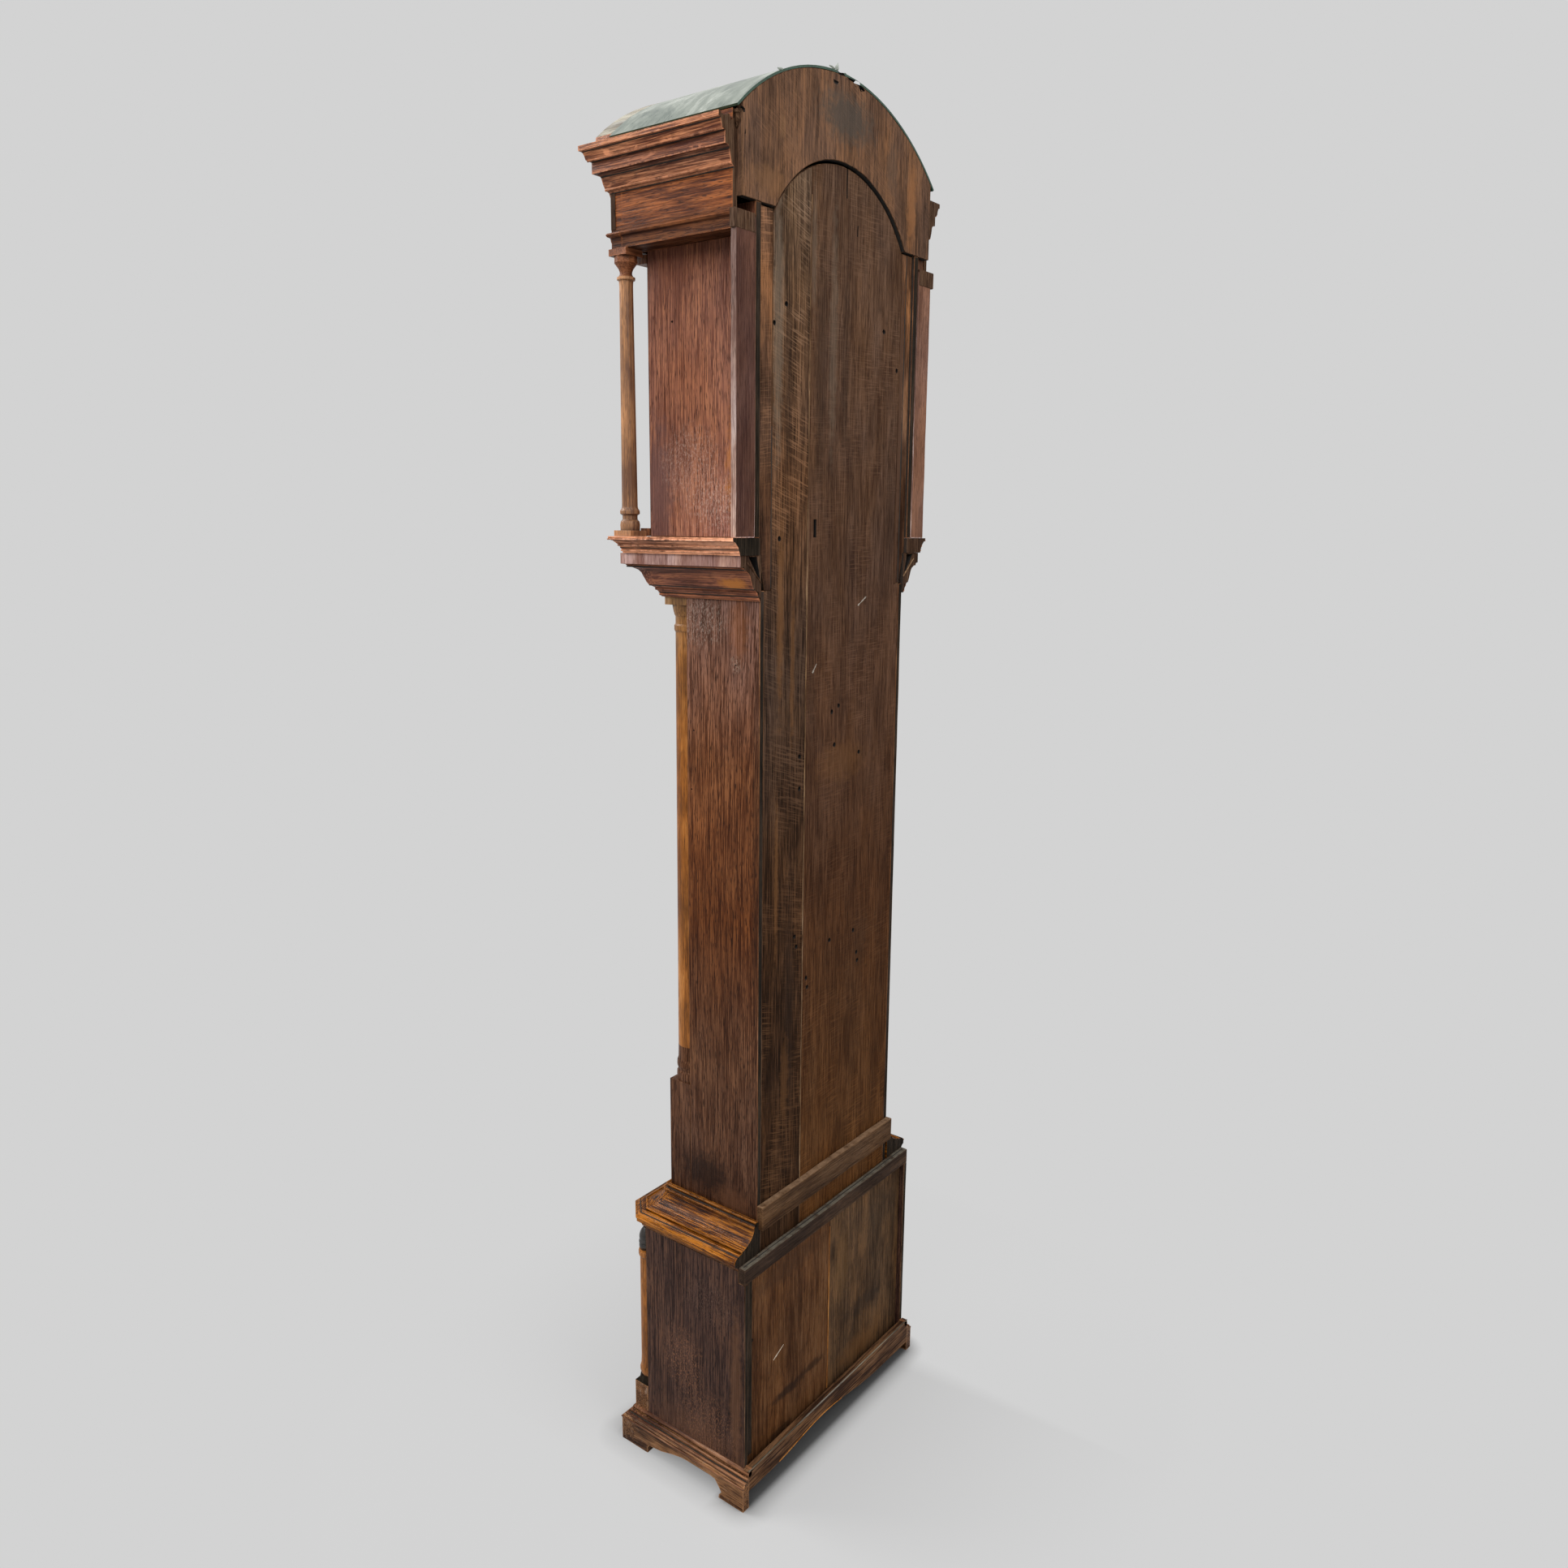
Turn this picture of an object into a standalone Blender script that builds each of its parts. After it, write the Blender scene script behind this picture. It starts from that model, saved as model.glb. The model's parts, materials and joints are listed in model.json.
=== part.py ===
"""Longcase clock with an arched sliding hood, standing on the floor, front towards -Y, metres."""
import math

import bmesh
import bpy
from mathutils import Matrix, Vector

for old in list(bpy.data.objects):
    bpy.data.objects.remove(old, do_unlink=True)

# Gap between pieces that touch, and clearance of a shaft in its hole
GAP = 0.0003
FIT = 0.0004

# Heights, from the floor up
PLINTH_H = 0.0540
BASE_H = 0.3590
BASE_MOULD_H = 0.0616
TRUNK_H = 0.9654
THROAT_H = 0.0640
HOOD_BASE_H = 0.0240
HOOD_OPEN_H = 0.3930
ARCHITRAVE_H = 0.0240
FRIEZE_H = 0.0485
CORNICE_H = 0.0590

# Trunk
TRUNK_HALF = 0.1880
TRUNK_DEPTH = 0.1820
SIDE_T = 0.0140
FRONT_T = 0.0200
CORNER_RECESS = 0.0430
CORNER_BLOCK_H = 0.1884
CORNER_R = 0.0270
CORNER_SHAFT_R = 0.0240
CORNER_CAP_H = 0.0115
SIDE_FOOT_DROP = 0.0530
CHEEK_RISE = 0.1137
REBATE_W = 0.0095
BOARD_T = 0.0127
BOARD_INSET = 0.0005
BOARD_SEAM = 0.0755
BOARD_NECK_HALF = 0.1630
BOARD_ARCH_R = 0.1900
BOARD_FOOT_DROP = 0.0130
WING_FOOT_RISE = 0.0150
WING_OUT_HALF = 0.1925
WING_TOP_DROP = 0.0020
BATTEN_H = 0.0400
BATTEN_T = 0.0115
BATTEN_RISE = 0.0600

# Trunk door
DOOR_HALF = 0.1120
DOOR_RISE = 0.2154
DOOR_H = 0.7100
DOOR_T = 0.0080
PLUG_T = 0.0120
PLUG_INSET = 0.0140
DOOR_ARCH_R = 0.0800
DOOR_ARCH_DROP = 0.0200
HINGE_R = 0.0040
HINGE_H = 0.0550
HINGE_INSET = 0.0900

# Base and plinth
BASE_HALF = 0.2377
BASE_FRONT = 0.2244
BASE_BACK = 0.0165
BASE_SIDE_T = 0.0140
BASE_RECESS = 0.0294
BASE_BLOCK_H = 0.0580
BASE_R = 0.0195
BASE_SHAFT_R = 0.0165
BASE_CAP_H = 0.0130
BASE_FOOT = 0.0120
BASE_BACK_T = 0.0065
BASE_BACK_INSET = 0.0095
BASE_SEAM = -0.0050
RAIL_H = 0.0265
RAIL_T = 0.0129
RAIL_RISE = 0.0065
PLINTH_OUT = 0.0165
PLINTH_BACK = 0.0276
PLINTH_BACK_T = 0.0108

# Hood
HOOD_HALF = 0.2430
HOOD_FRONT = 0.2244
HOOD_BACK = 0.0040
CARCASE_HALF = 0.2050
CARCASE_T = 0.0115
CARCASE_FRONT = 0.1930
HOOD_LIP = 0.0477
STILE_OUT = 0.2470
STILE_T = 0.0085
STILE_RISE = 0.0190
FRIEZE_T = 0.0085
HOOD_FRONT_T = 0.0204
CORNICE_OUT = 0.0308
THROAT_OUT = 0.0455
ROOF_R = 0.3520
ROOF_DROP = 0.2395
ROOF_T = 0.0030
YOKE_R = 0.1936
YOKE_LIFT = 0.0440
YOKE_FOOT = 0.0160
YOKE_T = 0.0100
COLUMN_X = 0.2295
COLUMN_D = 0.2109
COLUMN_BLOCK = 0.0335
HOOD_TRAVEL = 0.2200

# Hood door, mask and glass
HDOOR_HALF = 0.2050
HDOOR_T = 0.0190
HDOOR_D = 0.2135
HDOOR_R = 0.1830
HDOOR_ARCH_GAP = 0.0045
HDOOR_CHAMFER = 0.0230
HDOOR_CHAMFER_STOP = 0.0120
HDOOR_PIN_R = 0.0018
HDOOR_PIN_IN = 0.0035
GLASS_HALF = 0.1600
GLASS_T = 0.0030
GLASS_SILL = 0.0460
GLASS_R = 0.1240
MASK_T = 0.0080
MASK_LAP = 0.0045

# Movement
DIAL_HALF = 0.1525
DIAL_T = 0.0025
DIAL_D = 0.1810
DIAL_SILL = 0.0520
DIAL_ARCH_R = 0.1160
ARCH_DROP = 0.0060
SEAT_T = 0.0220
SEAT_BACK_D = 0.0750
SEAT_FRONT_D = 0.1650
PLATE_HALF = 0.0620
PLATE_H = 0.1650
PLATE_T = 0.0030
BACK_PLATE_D = 0.0820
FRONT_PLATE_D = 0.1470
PILLAR_R = 0.0040
BARREL_X = 0.0405
DRUM_R = 0.0260
DRUM_L = 0.0380
DRUM_D = 0.1000
GREAT_TEETH = 72
CENTRE_LEAVES = 6
CENTRE_TEETH = 48
THIRD_LEAVES = 6
THIRD_TEETH = 45
ESCAPE_LEAVES = 6
ESCAPE_TEETH = 30
GREAT_MODULE = 0.001103
TRAIN_MODULE = 0.000907
THIRD_X = 0.0180
ESCAPE_R = 0.0165
ANCHOR_RISE = 0.0300
WHEEL_T = 0.0016
ARBOR_R = 0.0016
PENDULUM_D = 0.0550
PENDULUM_L = 0.9940
BOB_R = 0.0550
BOB_T = 0.0140
ROD_R = 0.0025
WEIGHT_R = 0.0275
WEIGHT_L = 0.1900
WEIGHT_DROP = 0.4200
PULLEY_R = 0.0250
LINE_R = 0.0008
BELL_R = 0.0450
BELL_X = 0.0300
HOUR_L = 0.0720
MINUTE_L = 0.1180
HOUR_DEG = 304.0
MINUTE_DEG = 48.0

# Levels
Z_BASE = PLINTH_H
Z_BASE_TOP = Z_BASE + BASE_H
Z_TRUNK = Z_BASE_TOP + BASE_MOULD_H
Z_THROAT = Z_TRUNK + TRUNK_H
Z_SEAT = Z_THROAT + THROAT_H
Z_HOOD = Z_SEAT + HOOD_BASE_H
Z_ARCHITRAVE = Z_HOOD + HOOD_OPEN_H
Z_FRIEZE = Z_ARCHITRAVE + ARCHITRAVE_H
Z_CORNICE = Z_FRIEZE + FRIEZE_H
Z_CORNICE_TOP = Z_CORNICE + CORNICE_H
Z_ROOF_C = Z_CORNICE_TOP - ROOF_DROP
Z_YOKE_C = Z_ROOF_C + YOKE_LIFT
Z_YOKE = Z_FRIEZE + YOKE_FOOT
Z_CHEEK = Z_SEAT + CHEEK_RISE
Z_SEATBOARD = Z_CHEEK + GAP
Z_PLATES = Z_SEATBOARD + SEAT_T + GAP
Z_DIAL = Z_HOOD + DIAL_SILL
Z_CENTRE = Z_DIAL + DIAL_HALF
Z_DIAL_SPRING = Z_DIAL + 2 * DIAL_HALF

# The trunk's back plane, placed so that the whole clock is centred front to back
BACK = (HOOD_FRONT + CORNICE_OUT - PLINTH_BACK) / 2

PARTS = bpy.data.collections.new("longcase_clock")
bpy.context.scene.collection.children.link(PARTS)

OAK_DARK = ((0.135, 0.058, 0.030), 0.34, 0.0)
OAK_WARM = ((0.270, 0.118, 0.046), 0.36, 0.0)
OAK_GOLD = ((0.330, 0.165, 0.062), 0.34, 0.0)
OAK_BACK = ((0.130, 0.078, 0.046), 0.78, 0.0)
OAK_RAW = ((0.240, 0.150, 0.090), 0.80, 0.0)
ROOF_SKIN = ((0.120, 0.140, 0.120), 0.38, 0.0)
BRASS = ((0.640, 0.440, 0.160), 0.30, 1.0)
STEEL = ((0.420, 0.430, 0.450), 0.30, 1.0)
BLUED = ((0.030, 0.035, 0.060), 0.30, 1.0)
LEAD = ((0.330, 0.330, 0.340), 0.55, 1.0)
GUT = ((0.520, 0.400, 0.240), 0.65, 0.0)
PANE = ((0.800, 0.860, 0.840), 0.05, 0.0)


def ahead(distance):
    """Y of a plane this far in front of the trunk's back plane."""
    return BACK - distance


def as_object(name, mesh):
    thing = bpy.data.objects.new(name, mesh)
    PARTS.objects.link(thing)
    return thing


def closed_mesh(name, shape):
    bmesh.ops.remove_doubles(shape, verts=shape.verts, dist=0.000001)
    bmesh.ops.recalc_face_normals(shape, faces=shape.faces)
    mesh = bpy.data.meshes.new(name)
    shape.to_mesh(mesh)
    shape.free()
    return mesh


def evaluated(thing):
    bpy.context.view_layer.update()
    graph = bpy.context.evaluated_depsgraph_get()
    return bpy.data.meshes.new_from_object(thing.evaluated_get(graph))


def tidy(mesh):
    shape = bmesh.new()
    shape.from_mesh(mesh)
    bmesh.ops.remove_doubles(shape, verts=shape.verts, dist=0.000002)
    bmesh.ops.dissolve_degenerate(shape, edges=shape.edges, dist=0.000001)
    bmesh.ops.recalc_face_normals(shape, faces=shape.faces)
    shape.to_mesh(mesh)
    shape.free()
    return mesh


def box(name, x_range, y_range, z_range):
    """A block between two limits on each axis, in any order."""
    low = [min(x_range), min(y_range), min(z_range)]
    high = [max(x_range), max(y_range), max(z_range)]
    size = [h - l for l, h in zip(low, high)]
    middle = [(h + l) / 2 for l, h in zip(low, high)]
    place = Matrix.Translation(middle) @ Matrix.Diagonal((*size, 1.0))
    shape = bmesh.new()
    bmesh.ops.create_cube(shape, size=1.0, matrix=place)
    return as_object(name, closed_mesh(name, shape))


FACING = {
    "xz": Matrix(((1, 0, 0, 0), (0, 0, -1, 0), (0, 1, 0, 0), (0, 0, 0, 1))),
    "yz": Matrix(((0, 0, 1, 0), (1, 0, 0, 0), (0, 1, 0, 0), (0, 0, 0, 1))),
    "xy": Matrix.Identity(4),
}


def slab(name, loops, facing, limits):
    """A flat board: an outline, with holes if there are more loops, drawn in two axes, filled along the third."""
    low, high = min(limits), max(limits)
    curve = bpy.data.curves.new(name, "CURVE")
    curve.dimensions = "2D"
    curve.fill_mode = "BOTH"
    curve.extrude = (high - low) / 2
    for loop in loops:
        spline = curve.splines.new("POLY")
        spline.points.add(len(loop) - 1)
        for point, (u, v) in zip(spline.points, loop):
            point.co = (u, v, 0.0, 1.0)
        spline.use_cyclic_u = True
    drawn = as_object(name, curve)
    mesh = evaluated(drawn)
    bpy.data.objects.remove(drawn, do_unlink=True)
    bpy.data.curves.remove(curve)
    shift = {"xz": (0, 1, 0), "yz": (1, 0, 0), "xy": (0, 0, 1)}[facing]
    mesh.transform(Matrix.Translation(Vector(shift) * (low + high) / 2) @ FACING[facing])
    return as_object(name, tidy(mesh))


def turned(name, profile, steps, place, ring=False):
    """A lathe piece from (radius, height) points, turned about its own Z and then placed."""
    count = len(profile)
    edges = [(i, i + 1) for i in range(count - 1)]
    if ring:
        edges.append((count - 1, 0))
    mesh = bpy.data.meshes.new(name)
    mesh.from_pydata([(r, 0.0, h) for r, h in profile], edges, [])
    drawn = as_object(name, mesh)
    lathe = drawn.modifiers.new("lathe", "SCREW")
    lathe.axis = "Z"
    lathe.steps = steps
    lathe.render_steps = steps
    lathe.use_merge_vertices = True
    lathe.merge_threshold = 0.00001
    result = evaluated(drawn)
    bpy.data.objects.remove(drawn, do_unlink=True)
    bpy.data.meshes.remove(mesh)
    result.transform(place)
    return as_object(name, tidy(result))


def upright(x, y, z=0.0):
    return Matrix.Translation((x, y, z))


def shaft_place(x, z):
    """Turns a lathe piece so that its height runs forward, from the trunk's back plane."""
    along = Matrix(((1, 0, 0, 0), (0, 0, -1, 0), (0, 1, 0, 0), (0, 0, 0, 1)))
    return Matrix.Translation((x, BACK, z)) @ along


def rod(name, radius, x, z, start, end, steps=8):
    profile = [(0.0, end), (radius, end), (radius, start), (0.0, start)]
    return turned(name, profile, steps, shaft_place(x, z))


def post(name, radius, x, y, low, high, steps=12):
    profile = [(0.0, high), (radius, high), (radius, low), (0.0, low)]
    return turned(name, profile, steps, upright(x, y))


def combine(target, tool, operation):
    change = target.modifiers.new("combine", "BOOLEAN")
    change.object = tool
    change.operation = operation
    change.solver = "EXACT"
    mesh = evaluated(target)
    target.modifiers.clear()
    old_mesh = target.data
    target.data = mesh
    bpy.data.meshes.remove(old_mesh)
    bpy.data.objects.remove(tool, do_unlink=True)
    tidy(target.data)
    return target


def joined(target, *others):
    for other in others:
        combine(target, other, "UNION")
    return target


def less(target, *others):
    for other in others:
        combine(target, other, "DIFFERENCE")
    return target


def mitre(first, second):
    """Direction and reach of a mitred corner between two outward normals."""
    share = 1.0 + first[0] * second[0] + first[1] * second[1]
    return ((first[0] + second[0]) / share, (first[1] + second[1]) / share)


def loft(name, sections):
    """A solid through sections with the same number of points."""
    shape = bmesh.new()
    rows = [[shape.verts.new(point) for point in section] for section in sections]
    count = len(rows[0])
    for near, far in zip(rows, rows[1:]):
        for i in range(count):
            j = (i + 1) % count
            shape.faces.new((near[i], near[j], far[j], far[i]))
    shape.faces.new(rows[0])
    shape.faces.new(rows[-1])
    bmesh.ops.triangulate(shape, faces=[f for f in shape.faces if len(f.verts) > 4])
    return as_object(name, closed_mesh(name, shape))


def moulding(name, profile, stations):
    """A moulding of (out, height) points, run past (x, y, (mx, my)) stations with mitred corners."""
    sections = []
    for x, y, (mx, my) in stations:
        sections.append([(x + mx * out, y + my * out, high) for out, high in profile])
    return loft(name, sections)


def mirrored(points):
    return [(-x, z) for x, z in reversed(points)]


def arc(centre_z, radius, x_from, x_to, steps):
    """Points on the upper half of a circle about x = 0, evenly spaced in angle."""
    a_from = math.asin(x_from / radius)
    a_to = math.asin(x_to / radius)
    points = []
    for i in range(steps + 1):
        angle = a_from + (a_to - a_from) * i / steps
        points.append((radius * math.sin(angle), centre_z + radius * math.cos(angle)))
    return points


def circle(x, z, radius, steps):
    """A hole outline that a round shaft of this radius fits inside."""
    reach = radius / math.cos(math.pi / steps)
    turn = 2 * math.pi / steps
    return [(x + reach * math.cos(turn * i), z + reach * math.sin(turn * i)) for i in range(steps)]


def break_arch(half, low, shoulder, centre_z, radius, steps):
    """A square-shouldered outline with a round arch standing on it."""
    foot = math.sqrt(radius ** 2 - (shoulder - centre_z) ** 2)
    sides = [(-half, shoulder), (-half, low), (half, low), (half, shoulder)]
    return sides + arc(centre_z, radius, foot, -foot, steps)


def arched_board(half, low, outer, outer_z, inner, inner_z, steps):
    """A board with an arched top and an arched opening below."""
    foot = math.sqrt(inner ** 2 - (low - inner_z) ** 2)
    points = [(half, low)] + arc(outer_z, outer, half, -half, steps)
    return points + [(-half, low)] + arc(inner_z, inner, -foot, foot, steps)


def wheel_outline(x, z, teeth, module, phase):
    """Pointed clock teeth: two points at the root and one at the tip, phase is the angle of one tip."""
    pitch = 2 * math.pi / teeth
    middle = module * teeth / 2
    points = []
    for i in range(teeth):
        tip = phase + pitch * i
        for turn, radius in (
            (-0.23, middle - 1.2 * module),
            (0.0, middle + 1.25 * module),
            (0.23, middle - 1.2 * module),
        ):
            angle = tip + turn * pitch
            points.append((x + radius * math.cos(angle), z + radius * math.sin(angle)))
    return points


def leaf_outline(x, z, leaves, module, phase):
    """Radial pinion leaves, phase is the angle of the middle of one gap."""
    pitch = 2 * math.pi / leaves
    middle = module * leaves / 2
    points = []
    for i in range(leaves):
        tip = phase + pitch * (i + 0.5)
        for turn, radius in (
            (-0.17, middle - 1.7 * module),
            (-0.10, middle + 0.7 * module),
            (0.10, middle + 0.7 * module),
            (0.17, middle - 1.7 * module),
        ):
            angle = tip + turn * pitch
            points.append((x + radius * math.cos(angle), z + radius * math.sin(angle)))
    return points


def wall(start, end):
    """The Y limits of a board between two distances ahead of the trunk's back plane."""
    return (ahead(start), ahead(end))


def finish(thing, look, origin=None):
    """Gives a node its material, and puts its origin on its joint's axis."""
    colour, rough, metal = look
    material = bpy.data.materials.new(thing.name + "_finish")
    material.use_nodes = True
    shader = material.node_tree.nodes["Principled BSDF"]
    shader.inputs["Base Color"].default_value = (*colour, 1.0)
    shader.inputs["Roughness"].default_value = rough
    shader.inputs["Metallic"].default_value = metal
    if look is PANE:
        shader.inputs["Transmission Weight"].default_value = 0.9
    thing.data.materials.clear()
    thing.data.materials.append(material)
    if origin is not None:
        thing.data.transform(Matrix.Translation(-Vector(origin)))
        thing.location = origin
    return thing


SIDES = (("right", 1.0), ("left", -1.0))
CANT = math.sqrt(0.5)


def u_run(half, front, back, corner_cant=False):
    """Stations of a moulding that runs up the right side, across the front and back along the left."""
    y_front, y_back = ahead(front), ahead(back)
    right, facing, left = (1.0, 0.0), (0.0, -1.0), (-1.0, 0.0)
    stations = [(half, y_back, right)]
    if corner_cant:
        cant_right, cant_left = (CANT, -CANT), (-CANT, -CANT)
        stations.append((half, y_front, mitre(right, cant_right)))
        stations.append((half, y_front, mitre(cant_right, facing)))
        stations.append((-half, y_front, mitre(facing, cant_left)))
        stations.append((-half, y_front, mitre(cant_left, left)))
    else:
        stations.append((half, y_front, mitre(right, facing)))
        stations.append((-half, y_front, mitre(facing, left)))
    stations.append((-half, y_back, left))
    return stations


# Trunk sides: boards with a rebate for the back, and a cheek above that carries the seatboard
rebate_d = BOARD_INSET + BOARD_T + GAP
wing_z = Z_THROAT + WING_FOOT_RISE
side_front = TRUNK_DEPTH - CORNER_RECESS
for word, way in SIDES:
    low = Z_BASE_TOP - SIDE_FOOT_DROP
    outline = [
        (ahead(side_front), low),
        (ahead(0.0), low),
        (ahead(0.0), wing_z - GAP),
        (ahead(rebate_d), wing_z - GAP),
        (ahead(rebate_d), Z_CHEEK),
        (ahead(side_front), Z_CHEEK),
    ]
    board = slab("trunk_side_" + word, [outline], "yz", (way * (TRUNK_HALF - SIDE_T), way * TRUNK_HALF))
    notch = box(
        "notch",
        (way * (TRUNK_HALF - SIDE_T - 0.01), way * (TRUNK_HALF - REBATE_W)),
        wall(-0.01, rebate_d),
        (low - 0.01, wing_z + 0.01),
    )
    finish(less(board, notch), OAK_DARK)

# Back boards: narrow and wide, arched at the top
board_low = Z_BASE_TOP - BOARD_FOOT_DROP
board_half = TRUNK_HALF - REBATE_W - GAP
for word, way in SIDES:
    seam = BOARD_SEAM + way * GAP
    edge = way * board_half
    neck = way * BOARD_NECK_HALF
    outline = [(seam, board_low), (edge, board_low), (edge, wing_z), (neck, wing_z)]
    outline += arc(Z_YOKE_C, BOARD_ARCH_R, neck, seam, 8 if way > 0 else 18)
    board = slab("backboard_" + word, [outline], "xz", wall(BOARD_INSET, BOARD_INSET + BOARD_T))
    finish(board, OAK_BACK)

# Wings at hood level, cut on a slant over the throat
for word, way in SIDES:
    outline = [
        (way * (BOARD_NECK_HALF + GAP), wing_z + GAP),
        (way * board_half, wing_z + GAP),
        (way * TRUNK_HALF, Z_SEAT - 0.007),
        (way * TRUNK_HALF, Z_SEAT + GAP),
        (way * WING_OUT_HALF, Z_SEAT + GAP),
        (way * WING_OUT_HALF, Z_YOKE - WING_TOP_DROP),
        (way * (BOARD_NECK_HALF + GAP), Z_YOKE - WING_TOP_DROP),
    ]
    finish(slab("back_wing_" + word, [outline], "xz", wall(BOARD_INSET, BOARD_INSET + BOARD_T)), OAK_BACK)

# Trunk front with the door opening
front_half = TRUNK_HALF - CORNER_RECESS - GAP
door_low = Z_TRUNK + DOOR_RISE
door_high = door_low + DOOR_H
door_shoulder = door_high - DOOR_ARCH_R + DOOR_ARCH_DROP
door_arch_z = door_high - DOOR_ARCH_R


def door_shape(inset):
    return break_arch(
        DOOR_HALF - inset,
        door_low + inset,
        door_shoulder - inset,
        door_arch_z,
        DOOR_ARCH_R - inset,
        12,
    )


front_low = Z_BASE_TOP + 0.017
outer = [
    (-front_half, front_low),
    (front_half, front_low),
    (front_half, Z_SEAT - GAP),
    (-front_half, Z_SEAT - GAP),
]
frame = slab(
    "trunk_front_frame",
    [outer, door_shape(PLUG_INSET - 0.0015)],
    "xz",
    wall(TRUNK_DEPTH - FRONT_T, TRUNK_DEPTH),
)
finish(frame, OAK_DARK)

# Quarter columns of the trunk, with a tall block below and a cap above
column_low = Z_TRUNK + CORNER_BLOCK_H
column_high = Z_THROAT - CORNER_CAP_H
column_run = column_high - column_low
for word, way in SIDES:
    x_in = TRUNK_HALF - CORNER_RECESS
    top = column_run
    profile = [
        (0.0, top + 0.001),
        (CORNER_R, top + 0.001),
        (CORNER_R, top - 0.002),
        (CORNER_R - 0.0012, top - 0.009),
        (CORNER_SHAFT_R, top - 0.0155),
        (CORNER_SHAFT_R - 0.0013, top - 0.0175),
        (CORNER_SHAFT_R - 0.0013, top - 0.0285),
        (CORNER_SHAFT_R + 0.0006, top - 0.0310),
        (CORNER_SHAFT_R + 0.0006, top - 0.0380),
        (CORNER_SHAFT_R - 0.0012, top - 0.0410),
        (CORNER_SHAFT_R, 0.0600),
        (CORNER_SHAFT_R + 0.0004, 0.0370),
        (CORNER_SHAFT_R + 0.0022, 0.0320),
        (CORNER_SHAFT_R + 0.0026, 0.0250),
        (CORNER_SHAFT_R + 0.0012, 0.0205),
        (CORNER_SHAFT_R + 0.0006, 0.0175),
        (CORNER_R - 0.0004, 0.0140),
        (CORNER_R, 0.0060),
        (CORNER_R - 0.0010, -0.001),
        (0.0, -0.001),
    ]
    place = upright(way * (TRUNK_HALF - CORNER_R), ahead(TRUNK_DEPTH - CORNER_R), column_low)
    shaft = turned("trunk_column_" + word, profile, 20, place)
    keep = box(
        "keep",
        (way * (x_in + 0.0004), way * (TRUNK_HALF + 0.02)),
        wall(side_front + 0.0004, TRUNK_DEPTH + 0.02),
        (column_low - 0.02, column_high + 0.02),
    )
    combine(shaft, keep, "INTERSECT")
    block_x = (way * (x_in + 0.0002), way * TRUNK_HALF)
    block_y = wall(side_front + 0.0003, TRUNK_DEPTH)
    foot = box("foot", block_x, block_y, (front_low, column_low))
    cap = box("cap", block_x, block_y, (column_high, Z_SEAT - GAP))
    finish(joined(shaft, foot, cap), OAK_WARM)

# Throat moulding, three sides
THROAT_PROFILE = [
    (0.0000, 0.0000),
    (0.0030, 0.0005),
    (0.0035, 0.0040),
    (0.0078, 0.0097),
    (0.0078, 0.0120),
    (0.0140, 0.0165),
    (0.0165, 0.0180),
    (0.0187, 0.0216),
    (0.0203, 0.0260),
    (0.0220, 0.0300),
    (0.0240, 0.0355),
    (0.0270, 0.0395),
    (0.0330, 0.0430),
    (0.0385, 0.0445),
    (0.0385, 0.0470),
    (THROAT_OUT, 0.0485),
    (THROAT_OUT, THROAT_H),
    (0.0000, THROAT_H),
]
profile = [(out, Z_THROAT + high) for out, high in THROAT_PROFILE]
throat = moulding("throat_moulding", profile, u_run(TRUNK_HALF + GAP, TRUNK_DEPTH + GAP, -0.002))
finish(throat, OAK_DARK)

# Batten across the foot of the back
batten_low = Z_TRUNK - 0.0146
finish(
    box(
        "back_batten",
        (-TRUNK_HALF, TRUNK_HALF),
        wall(-GAP, -GAP - BATTEN_T),
        (batten_low, batten_low + BATTEN_H),
    ),
    OAK_BACK,
)

# Moulding between trunk and base, with canted corners: (share of the step from trunk to base, height)
BASE_PROFILE = [
    (0.000, -0.0002),
    (0.121, -0.0002),
    (0.121, -0.0055),
    (0.201, -0.0075),
    (0.211, -0.0120),
    (0.302, -0.0200),
    (0.443, -0.0265),
    (0.624, -0.0310),
    (0.805, -0.0338),
    (0.805, -0.0360),
    (0.926, -0.0360),
    (1.107, -0.0395),
    (1.167, -0.0440),
    (1.167, -0.0510),
    (1.097, -0.0520),
    (1.026, -0.0550),
    (0.986, -0.0616),
    (0.000, -0.0616),
]
base_step = BASE_HALF - TRUNK_HALF
profile = [(share * base_step, Z_TRUNK + high) for share, high in BASE_PROFILE]
rail_front = -(BASE_BACK - RAIL_T)
run = u_run(TRUNK_HALF + GAP, TRUNK_DEPTH + GAP, rail_front + GAP, corner_cant=True)
finish(moulding("base_moulding", profile, run), OAK_WARM)

# Base sides, notched for the rail and rebated for the back boards
base_side_front = BASE_FRONT - BASE_RECESS
rail_low = Z_BASE_TOP + RAIL_RISE - RAIL_H
back_in = -BASE_BACK + BASE_BACK_INSET
for word, way in SIDES:
    outline = [
        (ahead(base_side_front), BASE_FOOT),
        (ahead(-BASE_BACK), BASE_FOOT),
        (ahead(-BASE_BACK), rail_low - GAP),
        (ahead(rail_front + GAP), rail_low - GAP),
        (ahead(rail_front + GAP), Z_BASE_TOP - GAP),
        (ahead(base_side_front), Z_BASE_TOP - GAP),
    ]
    board = slab("base_side_" + word, [outline], "yz", (way * (BASE_HALF - BASE_SIDE_T), way * BASE_HALF))
    notch = box(
        "notch",
        (way * (BASE_HALF - BASE_SIDE_T - 0.01), way * (BASE_HALF - 0.008)),
        wall(-BASE_BACK - 0.01, back_in + BASE_BACK_T + GAP),
        (BASE_FOOT - 0.01, Z_BASE_TOP + 0.01),
    )
    finish(less(board, notch), OAK_DARK)

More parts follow.
